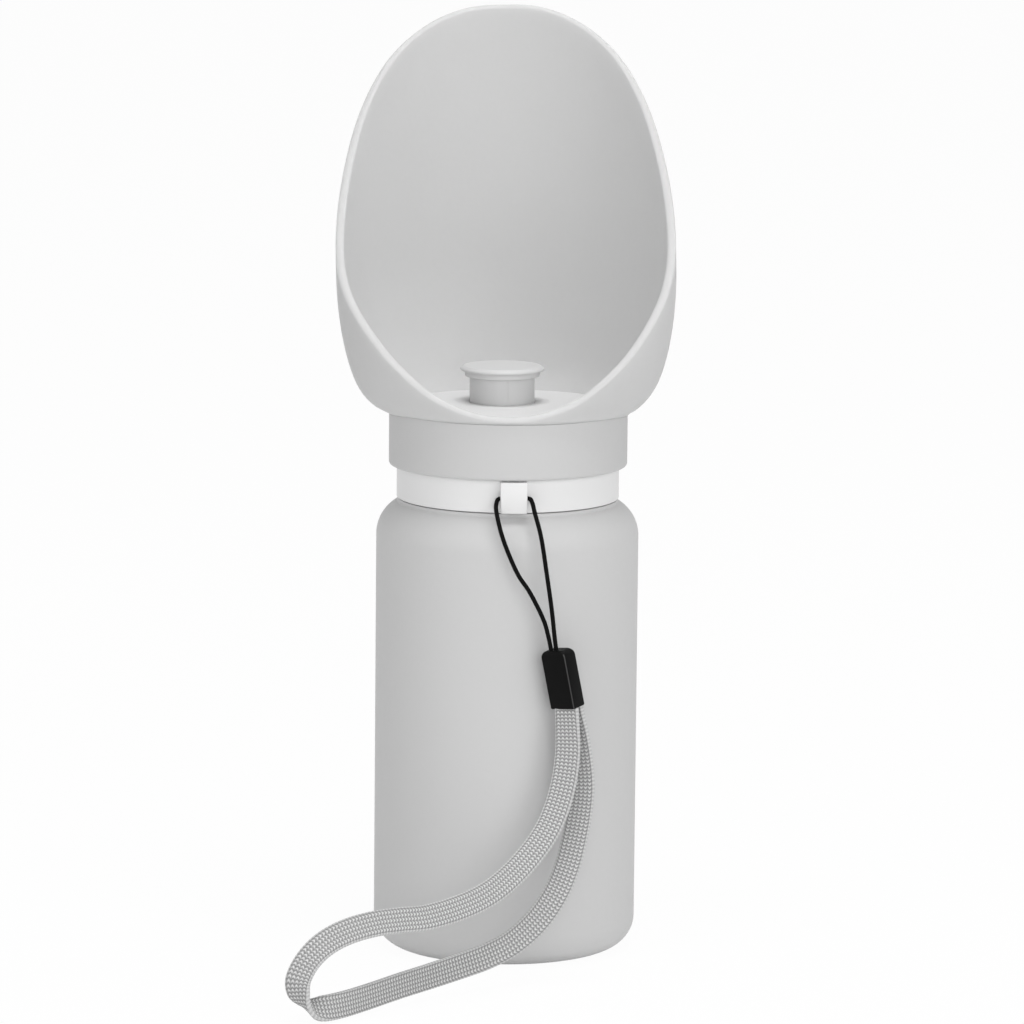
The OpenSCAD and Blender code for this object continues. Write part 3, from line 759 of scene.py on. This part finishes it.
# %% Floor plate
PLATE_R = 33.2
PLATE_DOME = 0.9
FLAT_R = 14.1
BORE_R = 9.7
BORE_MID = 152
HUB_R = 13.0
HUB_Z = 147.5
SNAP_Z = 151.5
SNAP_R = HUB_R + 0.9
SNAP_RAMP = 1.5
SNAP_FLAT = 0.6
STEP_R = 26.7
DOME_R = 0.7
DOME_H = 0.55


def to_valve(r):
    """Share of the valve's offset for a ring of radius r: none at the plate's rim."""
    return min(max((PLATE_R - r) / (PLATE_R - FLAT_R), 0), 1)


plate_top = FLOOR_Z + PLATE_DOME
plate_outline = rounded([(BORE_R, BORE_MID, 0), (BORE_R, HUB_Z, 0.2), (HUB_R, HUB_Z, 0.4),
                         (HUB_R, SNAP_Z - SNAP_RAMP, 0), (SNAP_R, SNAP_Z - SNAP_FLAT, 0.2),
                         (SNAP_R, SNAP_Z, 0.1), (HUB_R, SNAP_Z, 0), (HUB_R, FOOT_Z, 0), (STEP_R, FOOT_Z, 0),
                         (STEP_R, FOOT_TOP, 0), (PLATE_R, FOOT_TOP, 0.1), (PLATE_R, FLOOR_Z, 0.4),
                         (PLATE_R * DOME_R, FLOOR_Z + PLATE_DOME * DOME_H, 3),
                         (FLAT_R, plate_top, 2), (BORE_R, plate_top, 0.15)])
plate_shape = lathe(plate_outline, shift=to_valve)
plate = piece_from("scoop_floor", *plate_shape, "lid", "pale_plastic", ["floor_plate"])

# %% [markdown]
# ## The valve
# The valve is a mushroom: a thin rounded cap on a slightly narrower disc, on a hollow stem
# with two seal grooves. It was moulded in two halves, which leaves a faint line down the
# stem, so one column of its points is pushed out by a fifth of a millimetre.

# %% Turned valve
HEAD_R = 12.1
HEAD_TOP = 170.0
HEAD_EDGE = 168.6
HEAD_Z = 166.9
UNDER_R = 10.8
STEM_R = 9.4
STEM_IN = 7.4
STEM_Z = 135.6
STEM_END_R = 9.3
HOLLOW_TOP = HEAD_Z - 2
SEAL_R = 8.05
SEAL_HALF = 0.8
UPPER_SEAL = 157.9
LOWER_SEAL = 149.3
CLIP_R = 8.9
CLIP_TOP = 138.9
CLIP_LOW = 136.35
MOULD_LINE = -78
MOULD_STEP = 0.22
MOULD_SLACK = 0.05


def groove(z):
    """A seal groove in the stem, written from its upper to its lower edge."""
    top, low = z + SEAL_HALF, z - SEAL_HALF
    return [(STEM_R, top, 0.1), (SEAL_R, top, 0.1), (SEAL_R, low, 0.1), (STEM_R, low, 0.1)]


valve_outline = rounded(
    [(0, HEAD_TOP, 0), (HEAD_R - 0.9, HEAD_TOP, 0.8), (HEAD_R, HEAD_TOP - 0.7, 0.6),
     (HEAD_R, HEAD_EDGE, 0.45), (UNDER_R, HEAD_EDGE, 0.1), (UNDER_R, HEAD_Z, 0.4), (STEM_R, HEAD_Z, 0.3)]
    + groove(UPPER_SEAL) + groove(LOWER_SEAL)
    + [(STEM_R, CLIP_TOP, 0.1), (CLIP_R, CLIP_TOP, 0.1), (CLIP_R, CLIP_LOW, 0.1), (STEM_END_R, CLIP_LOW, 0.1),
       (STEM_END_R, STEM_Z, 0.2), (STEM_IN, STEM_Z, 0.2), (STEM_IN, HOLLOW_TOP, 1), (0, HOLLOW_TOP, 0)])
valve_points, valve_faces = lathe(valve_outline, closed=False, shift=lambda r: 1)
for i, (x, y, z) in enumerate(valve_points):
    dx, dy = x - VALVE_AT[0], y - VALVE_AT[1]
    near = abs(math.degrees(math.atan2(dy, dx)) - MOULD_LINE) < 180 / LATHE_SIDES
    if near and z > FLOOR_Z and abs(math.hypot(dx, dy) - STEM_R) < MOULD_SLACK:
        valve_points[i] = (x + dx / STEM_R * MOULD_STEP, y + dy / STEM_R * MOULD_STEP, z)
valve = piece_from("pull_valve", valve_points, valve_faces, "valve", "pale_plastic", ["valve_plug"])

# %% [markdown]
# ## Windows in the stem
# Four windows low on the stem come up out of the floor when the head is pulled, and let
# the water out. They cross a curved wall, so they are cut with a boolean, whose result
# is kept as the valve's own mesh. Cutting by hand would need a new mesh round each one.

# %% Valve windows
WINDOW_Z = 151.5
WINDOW_H = 4.8
WINDOW_W = 6.0
WINDOW_CORNER = 0.6
WINDOWS = 4
FIRST_WINDOW = 45
CUT_DEEP = 4.5


def window_cutter(turn_deg):
    """A block that crosses the stem's wall, turned round the valve's axis."""
    points, faces = loft([rectangle(CUT_DEEP, WINDOW_W, WINDOW_CORNER, z)
                          for z in (WINDOW_Z, WINDOW_Z + WINDOW_H)])
    mesh = bpy.data.meshes.new("cutter")
    mesh.from_pydata([p * MM for p in points], [], faces)
    place = Matrix.Translation((VALVE_AT[0] * MM, VALVE_AT[1] * MM, 0))
    out = Matrix.Translation(((STEM_R + STEM_IN) / 2 * MM, 0, 0))
    mesh.transform(place @ Matrix.Rotation(math.radians(turn_deg), 4, "Z") @ out)
    return placed("cutter", mesh)


def cut(piece, cutter):
    """Cuts the cutter out of the piece's own mesh and removes the cutter."""
    step = piece.modifiers.new("cut", "BOOLEAN")
    step.operation, step.solver, step.object = "DIFFERENCE", "EXACT", cutter
    shaped = bpy.data.meshes.new_from_object(piece.evaluated_get(bpy.context.evaluated_depsgraph_get()))
    piece.modifiers.remove(step)
    piece.data = shaped
    bpy.data.objects.remove(cutter)


for window in range(WINDOWS):
    cut(valve, window_cutter(FIRST_WINDOW + window * 360 / WINDOWS))
print("valve with windows", len(valve.data.polygons), "faces")

# %% [markdown]
# ## The white strap ring
# The ring is a thin turned band. Its lug is a small bridge: two feet and a strip in front
# of them, with the cord passing behind. The lug's outline is drawn as seen from the side
# and stretched to its width, and its edges are bevelled, as moulded corners are.

# %% Ring and lug
RING_IN = 30.8
RING_MID = 137
RING_TOP = 142.5
LUG_W = 7.7
LUG_T = 1.5
LUG_GAP = 1.5
LUG_ROOT_R = 31.35
LUG_EASE = 0.35
LUG_TURN = 3
LUG_BOTTOM = 132.2
LUG_TOP = 141.1
SLOT_LOW = 134.5
SLOT_HIGH = 138.1
ring_outline = rounded([(RING_IN, RING_MID, 0), (RING_IN, RING_Z, 0.2), (RING_R, RING_Z, 0.3),
                        (RING_R, RING_TOP, 0.3), (RING_IN, RING_TOP, 0.2)])
ring = piece_from("neck_ring", *lathe(ring_outline), "strap", "white_plastic", ["strap_ring"])
front, inside, root = -RING_R - LUG_GAP - LUG_T, -RING_R - LUG_GAP, -LUG_ROOT_R
lug_side = [(front, LUG_BOTTOM), (inside, LUG_BOTTOM), (root, LUG_BOTTOM), (root, SLOT_LOW),
            (inside, SLOT_LOW), (inside, SLOT_HIGH), (root, SLOT_HIGH), (root, LUG_TOP), (front, LUG_TOP)]
lug_points, lug_faces = loft([[Vector((x, y, z)) for y, z in lug_side] for x in (-LUG_W / 2, LUG_W / 2)])
swing = Matrix.Rotation(math.radians(LUG_TURN), 3, "Z")
lug = piece_from("cord_lug", [swing @ p for p in lug_points], lug_faces, "strap", "white_plastic")
ease = lug.modifiers.new("moulded edges", "BEVEL")
ease.width = LUG_EASE * MM
ease.segments = 3
ease.limit_method = "ANGLE"

# %% [markdown]
# ## Helpers for shader nodes
# Most finishes are small sums of noise and waves. These helpers add one node each and
# return its output, so that a finish reads like a sum.

# %% Node helpers
def new_group(name, inputs, outputs):
    group = bpy.data.node_groups.new(name, "ShaderNodeTree")
    for label, kind, value in inputs:
        group.interface.new_socket(label, in_out="INPUT", socket_type=kind).default_value = value
    for label, kind in outputs:
        group.interface.new_socket(label, in_out="OUTPUT", socket_type=kind)
    return group, group.nodes.new("NodeGroupInput"), group.nodes.new("NodeGroupOutput")


def sum_node(group, operation, a, b=None):
    node = group.nodes.new("ShaderNodeMath")
    node.operation = operation
    for socket, value in zip(node.inputs, (a, b)):
        if isinstance(value, (int, float)):
            socket.default_value = value
        elif value is not None:
            group.links.new(value, socket)
    return node.outputs[0]


def mix_colour(group, factor, first, second):
    node = group.nodes.new("ShaderNodeMix")
    node.data_type = "RGBA"
    for socket, value in zip((node.inputs[0], node.inputs[6], node.inputs[7]), (factor, first, second)):
        group.links.new(value, socket)
    return node.outputs[2]


def noise(group, vector, scale, detail):
    node = group.nodes.new("ShaderNodeTexNoise")
    node.inputs["Scale"].default_value = scale
    node.inputs["Detail"].default_value = detail
    group.links.new(vector, node.inputs["Vector"])
    return node.outputs[0]


def linear(grey):
    """The linear value of a display grey from 0 to 255."""
    v = grey / 255
    return v / 12.92 if v <= 0.04045 else ((v + 0.055) / 1.055) ** 2.4


def tone_of(grey):
    return (linear(grey), linear(grey), linear(grey), 1)


print("display grey 200 is", round(linear(200), 3), "in linear light")

# %% [markdown]
# ## Moulded grain
# Moulded plastic and silicone are never perfectly even. One node group makes a very fine
# grain and a slow drift of tone, and every moulded material places it with its own
# values. It is built once, with named inputs and outputs.

# %% Moulded grain group
ROUGH_UNEVEN = 0.12
FINE_SHARE = 0.6
moulded, grain_in, grain_out = new_group(
    "moulded grain",
    [("Colour", "NodeSocketColor", (0.5, 0.5, 0.5, 1)), ("Shade", "NodeSocketColor", (0.4, 0.4, 0.4, 1)),
     ("Roughness", "NodeSocketFloat", 0.5), ("Drift", "NodeSocketFloat", 0.3)],
    [("Colour", "NodeSocketColor"), ("Roughness", "NodeSocketFloat"), ("Height", "NodeSocketFloat")])
place = moulded.nodes.new("ShaderNodeTexCoord").outputs["Object"]
slow = noise(moulded, place, 18, 2)
fine = noise(moulded, place, 2600, 2)
speck = noise(moulded, place, 700, 3)
tone = sum_node(moulded, "MULTIPLY", sum_node(moulded, "MULTIPLY", slow, speck), grain_in.outputs["Drift"])
toned = mix_colour(moulded, tone, grain_in.outputs["Colour"], grain_in.outputs["Shade"])
uneven = sum_node(moulded, "MULTIPLY", sum_node(moulded, "SUBTRACT", speck, 0.5), ROUGH_UNEVEN)
rough = sum_node(moulded, "ADD", grain_in.outputs["Roughness"], uneven)
height = sum_node(moulded, "ADD", sum_node(moulded, "MULTIPLY", fine, FINE_SHARE), speck)
for output, label in [(toned, "Colour"), (rough, "Roughness"), (height, "Height")]:
    moulded.links.new(output, grain_out.inputs[label])
print("group", moulded.name, "has", len(moulded.nodes), "nodes")

# %% [markdown]
# ## Moulded finishes
# Each moulded piece takes the grain with its own grey, roughness and depth. The bottle is
# satin, the silicone is duller and slightly velvety, the ring is the whitest and the
# smoothest. Values that are the same all over a piece sit on the shader itself.

# %% Moulded materials
SILICONE_DEEP = 0.004
GRAIN_DEEP = 0.00004


def plain_material(name):
    material = bpy.data.materials.new(name)
    material.use_nodes = True
    return material, material.node_tree, material.node_tree.nodes["Principled BSDF"]


def add_relief(tree, shader, height, strength, distance):
    """Turns a height from 0 to 1 into bumps that are at most a distance deep."""
    relief = tree.nodes.new("ShaderNodeBump")
    relief.inputs["Strength"].default_value = strength
    relief.inputs["Distance"].default_value = distance
    tree.links.new(height, relief.inputs["Height"])
    tree.links.new(relief.outputs["Normal"], shader.inputs["Normal"])


def moulded_material(name, grey, shade, roughness, bump, drift=0.3, sheen=0.0, specular=0.4, soft=0.0):
    material, tree, shader = plain_material(name)
    grain = tree.nodes.new("ShaderNodeGroup")
    grain.node_tree = moulded
    grain.inputs["Colour"].default_value = tone_of(grey)
    grain.inputs["Shade"].default_value = tone_of(shade)
    grain.inputs["Roughness"].default_value = roughness
    grain.inputs["Drift"].default_value = drift
    add_relief(tree, shader, grain.outputs["Height"], bump, GRAIN_DEEP)
    tree.links.new(grain.outputs["Colour"], shader.inputs["Base Color"])
    tree.links.new(grain.outputs["Roughness"], shader.inputs["Roughness"])
    shader.inputs["Specular IOR Level"].default_value = specular
    shader.inputs["Sheen Weight"].default_value = sheen
    shader.inputs["Subsurface Weight"].default_value = soft
    shader.inputs["Subsurface Radius"].default_value = (1, 1, 1)
    shader.inputs["Subsurface Scale"].default_value = SILICONE_DEEP
    return material


soft_grey = moulded_material("soft grey bottle", 203, 190, 0.5, 0.25, specular=0.3)
band_grey = moulded_material("grey lid band", 202, 188, 0.55, 0.35, specular=0.25)
silicone = moulded_material("grey silicone", 203, 192, 0.6, 0.3, sheen=0.03, specular=0.25, soft=1.0)
white_gloss = moulded_material("white ring plastic", 232, 224, 0.4, 0.1, drift=0.2, specular=0.35)
# The lug's white is a slightly darker copy of the ring's white: painted shade that offsets the extra light
# the lug catches.
shaded_white_lug = moulded_material("white lug plastic with painted shade", 230, 224, 0.4, 0.1, drift=0.2, specular=0.3)
pale = moulded_material("pale floor plastic", 227, 219, 0.5, 0.2, drift=0.2)
valve_pale = moulded_material("pale valve plastic", 210, 202, 0.5, 0.2, drift=0.2)
stem_grey = moulded_material("grey valve stem", 209, 201, 0.5, 0.2, drift=0.2)
inner_plastic = moulded_material("inner cap plastic", 210, 196, 0.5, 0.2)
seal_dark = moulded_material("seal rubber", 120, 104, 0.7, 0.4)
crimp_black = moulded_material("black crimp plastic", 12, 9, 0.42, 0.4, specular=0.06)
# The corner finish is a painted highlight: a lighter copy of the black crimp plastic.
crimp_highlit = moulded_material("rubbed crimp corner", 62, 40, 0.4, 0.4, specular=0.2)
print(len(bpy.data.materials), "materials made")

# %% [markdown]
# ## Colour of the knit
# The webbing's stitches are already in the mesh. Its material paints shade into the hollows
# between them and into the groove, paints highlights on the crowns and lifts the pale edge
# bead, from the same coordinates along and across the strip. A little fuzz breaks up the yarn.

# %% Knit colour group
GROOVE_EASE = 0.2
BEAD_EASE = 0.25
knit, knit_in, knit_out = new_group(
    "knit colour",
    [("Crown highlight", "NodeSocketColor", (0.5, 0.5, 0.5, 1)), ("Hollow shade", "NodeSocketColor", (0.2, 0.2, 0.2, 1)),
     ("Bead", "NodeSocketColor", (0.6, 0.6, 0.6, 1))],
    [("Colour", "NodeSocketColor"), ("Height", "NodeSocketFloat")])


def run_across(group):
    """Coordinates along and across a strip, in millimetres."""
    chart, split = group.nodes.new("ShaderNodeUVMap"), group.nodes.new("ShaderNodeSeparateXYZ")
    chart.uv_map = "run"
    group.links.new(chart.outputs[0], split.inputs[0])
    return split.outputs[0], split.outputs[1]


def share_between(group, value, low, high):
    """Share from 0 to 1 of the way of a value from low to high."""
    node = group.nodes.new("ShaderNodeMapRange")
    node.interpolation_type = "SMOOTHSTEP"
    node.inputs["From Min"].default_value, node.inputs["From Max"].default_value = low, high
    group.links.new(value, node.inputs["Value"])
    return node.outputs[0]


web_run, web_across = run_across(knit)
column = sum_node(knit, "FRACT", sum_node(knit, "ADD", sum_node(knit, "DIVIDE", web_across, COLUMN), 100.5))
off_centre = sum_node(knit, "ABSOLUTE", sum_node(knit, "SUBTRACT", sum_node(knit, "MULTIPLY", column, 2), 1))
peak = sum_node(knit, "MULTIPLY", sum_node(knit, "SUBTRACT", 1.0, off_centre), PEAK)
phase = sum_node(knit, "ADD", sum_node(knit, "DIVIDE", web_run, STITCH_LONG), peak)
wave = sum_node(knit, "COSINE", sum_node(knit, "MULTIPLY", phase, 2 * math.pi))
strand = sum_node(knit, "ADD", sum_node(knit, "MULTIPLY", wave, 0.5), 0.5)
arch = sum_node(knit, "SINE", sum_node(knit, "MULTIPLY", column, math.pi))
hump = sum_node(knit, "ADD", sum_node(knit, "MULTIPLY", arch, 1 - VALLEY), VALLEY)
from_middle = sum_node(knit, "ABSOLUTE", web_across)
# Painted shade: the groove beside each bead takes the hollow colour.
groove_shade = share_between(knit, from_middle, FIELD - GROOVE_EASE, FIELD)
on_field = sum_node(knit, "SUBTRACT", 1.0, groove_shade)
on_bead = share_between(knit, from_middle, BEAD_AT, BEAD_AT + BEAD_EASE)
fuzz = noise(knit, knit.nodes.new("ShaderNodeTexCoord").outputs["Object"], 2200, 3)
# The crowns of the stitches get a painted highlight, the hollows painted shade.
crown_highlight = sum_node(knit, "MULTIPLY", sum_node(knit, "MULTIPLY", strand, hump), on_field)
fuzzy = sum_node(knit, "ADD", sum_node(knit, "MULTIPLY", fuzz, 0.5), 0.75)
lit = sum_node(knit, "MULTIPLY", crown_highlight, fuzzy)
field_colour = mix_colour(knit, lit, knit_in.outputs["Hollow shade"], knit_in.outputs["Crown highlight"])
bead_wave = sum_node(knit, "COSINE", sum_node(knit, "MULTIPLY", web_run, 2 * math.pi / STITCH_LONG))
bead_tone = sum_node(knit, "ADD", sum_node(knit, "MULTIPLY", bead_wave, 0.2), 0.7)
bead_share = sum_node(knit, "MULTIPLY", on_bead, bead_tone)
web_colour = mix_colour(knit, bead_share, field_colour, knit_in.outputs["Bead"])
knit.links.new(web_colour, knit_out.inputs["Colour"])
knit.links.new(fuzz, knit_out.inputs["Height"])
print("group", knit.name, "has", len(knit.nodes), "nodes")

# %% [markdown]
# ## Braid of the cord
# The cord's braid is too fine for the mesh, so its two crossing sets of strands are a
# bump: one wave winds up to the right, one to the left, and the higher of the two shows.

# %% Braid height group
BRAID_STRANDS = 5
BRAID_LONG = 1.6
braid, braid_in, braid_out = new_group(
    "braid", [("Depth", "NodeSocketFloat", 1.0)], [("Height", "NodeSocketFloat")])
cord_run, cord_round = run_across(braid)
round_wave = sum_node(braid, "MULTIPLY", cord_round, 2 * math.pi * BRAID_STRANDS)
long_wave = sum_node(braid, "MULTIPLY", cord_run, 2 * math.pi / BRAID_LONG)
ways = [sum_node(braid, "SINE", sum_node(braid, way, round_wave, long_wave)) for way in ("ADD", "SUBTRACT")]
crossed = sum_node(braid, "MAXIMUM", *ways)
braid_height = sum_node(braid, "MULTIPLY", crossed, braid_in.outputs["Depth"])
braid.links.new(braid_height, braid_out.inputs["Height"])
print("group", braid.name, "has", len(braid.nodes), "nodes")

# %% [markdown]
# ## Fabric finishes
# Both fabrics are dull. The webbing takes its colour from the knit, and the cord is one
# near-black tone whose braid shows only through its relief.

# %% Fabric materials
FABRIC_BUMP = 0.6
FABRIC_ROUGH = 0.8


def fabric_material(name, group, values, distance, sheen, specular, colour=None):
    material, tree, shader = plain_material(name)
    cloth = tree.nodes.new("ShaderNodeGroup")
    cloth.node_tree = group
    for label, value in values.items():
        cloth.inputs[label].default_value = value
    add_relief(tree, shader, cloth.outputs["Height"], FABRIC_BUMP, distance)
    if colour:
        shader.inputs["Base Color"].default_value = colour
    else:
        tree.links.new(cloth.outputs["Colour"], shader.inputs["Base Color"])
    shader.inputs["Roughness"].default_value = FABRIC_ROUGH
    shader.inputs["Specular IOR Level"].default_value = specular
    shader.inputs["Sheen Weight"].default_value = sheen
    return material


# Crown highlight and hollow shade are painted light and shade on the grey yarn.
web_tones = {"Crown highlight": tone_of(226), "Hollow shade": tone_of(138), "Bead": tone_of(214)}
web_cloth = fabric_material("grey knitted webbing", knit, web_tones, 0.00005, sheen=0.05, specular=0.2)
cord_cloth = fabric_material("black braided cord", braid, {"Depth": 1.0}, 0.00008, sheen=0.02,
                             specular=0.08, colour=tone_of(12))
print("webbing and cord finishes made")

# %% [markdown]
# ## Dressing every piece
# Each piece gets its finish. The four pieces hidden inside the lid keep the shapes of the
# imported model, which are right as they are, and only take a material.

# %% Put the finishes on
def dress(piece, *materials):
    piece.data.materials.clear()
    for material in materials:
        piece.data.materials.append(material)


for piece, material in [(bottle, soft_grey), (neck_thread, soft_grey), (band, band_grey), (bowl, silicone),
                        (plate, pale), (ring, white_gloss), (lug, shaded_white_lug), (webbing, web_cloth),
                        (cord, cord_cloth)]:
    dress(piece, material)
dress(crimp, crimp_black, crimp_highlit)
# The corner faces take the painted highlight.
for index in highlit:
    crimp.data.polygons[index].material_index = 1
dress(valve, valve_pale, stem_grey)
for face in valve.data.polygons:
    face.material_index = 1 if face.center.z < (HEAD_Z - 0.2) * MM else 0
for node, material in [("lid_insert", inner_plastic), ("lid_gasket", seal_dark),
                       ("plug_o_rings", seal_dark), ("plug_stop", white_gloss)]:
    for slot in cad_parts[node].material_slots:
        slot.material = material

# %% [markdown]
# ## The ground
# The photo has a pure white ground. The ground here looks white to the camera but lights
# the object only as a pale floor would, and it still takes a faint shadow. Reflections
# and clear pieces see the white ground too.

# %% White ground
FLOOR_SHARE = 0.96


def seen_share(tree, share):
    """A share for rays of the camera, of reflections and of clear pieces, else 0."""
    path = tree.nodes.new("ShaderNodeLightPath")
    shiny = sum_node(tree, "MAXIMUM", path.outputs["Is Glossy Ray"], path.outputs["Is Transmission Ray"])
    return sum_node(tree, "MULTIPLY", sum_node(tree, "MAXIMUM", path.outputs["Is Camera Ray"], shiny), share)


ground, ground_tree, ground_shader = plain_material("white ground")
ground_shader.inputs["Base Color"].default_value = (0.93, 0.93, 0.93, 1)
ground_shader.inputs["Roughness"].default_value = 0.9
glow, blend = ground_tree.nodes.new("ShaderNodeEmission"), ground_tree.nodes.new("ShaderNodeMixShader")
ground_tree.links.new(seen_share(ground_tree, FLOOR_SHARE), blend.inputs[0])
ground_tree.links.new(ground_shader.outputs[0], blend.inputs[1])
ground_tree.links.new(glow.outputs[0], blend.inputs[2])
ground_tree.links.new(blend.outputs[0], ground_tree.nodes["Material Output"].inputs[0])
floor_mesh = bpy.data.meshes.new("floor")
floor_mesh.from_pydata([(-6, -6, 0), (6, -6, 0), (6, 6, 0), (-6, 6, 0)], [], [(0, 1, 2, 3)])
floor = placed("floor", floor_mesh)
dress(floor, ground)
print("ground is", floor.dimensions.x, "m wide")

# %% [markdown]
# ## The light
# The photo's light is very soft and comes mostly from the front, a little stronger from
# the right. Large lamps give that, and the world fills the shadows. The world too looks
# white to the camera without adding that much light.

# %% World and lamps
WORLD_LIGHT = 0.4
LAMP_AIM = Vector((0, 0, 0.13))
world = bpy.data.worlds.new("studio")
world.use_nodes = True
scene.world = world
sky = world.node_tree
back = sky.nodes["Background"]
back.inputs[0].default_value = (1, 1, 1, 1)
sky.links.new(sum_node(sky, "ADD", seen_share(sky, 1 - WORLD_LIGHT), WORLD_LIGHT), back.inputs[1])


def area_lamp(name, place, size, power):
    light = bpy.data.lights.new(name, "AREA")
    light.size, light.energy = size, power
    lamp = placed(name, light)
    lamp.location = place
    lamp.rotation_euler = (LAMP_AIM - Vector(place)).to_track_quat("-Z", "Y").to_euler()


area_lamp("right lamp", (1.1, -1.3, 0.7), 0.9, 6.2)
area_lamp("left lamp", (-1.3, -1.1, 0.5), 0.9, 3.6)
area_lamp("front lamp", (0.3, -1.9, 0.7), 1.0, 7.5)
area_lamp("top lamp", (0.1, -0.2, 1.5), 0.8, 9)
scene.view_settings.view_transform = "Standard"
print("studio set")
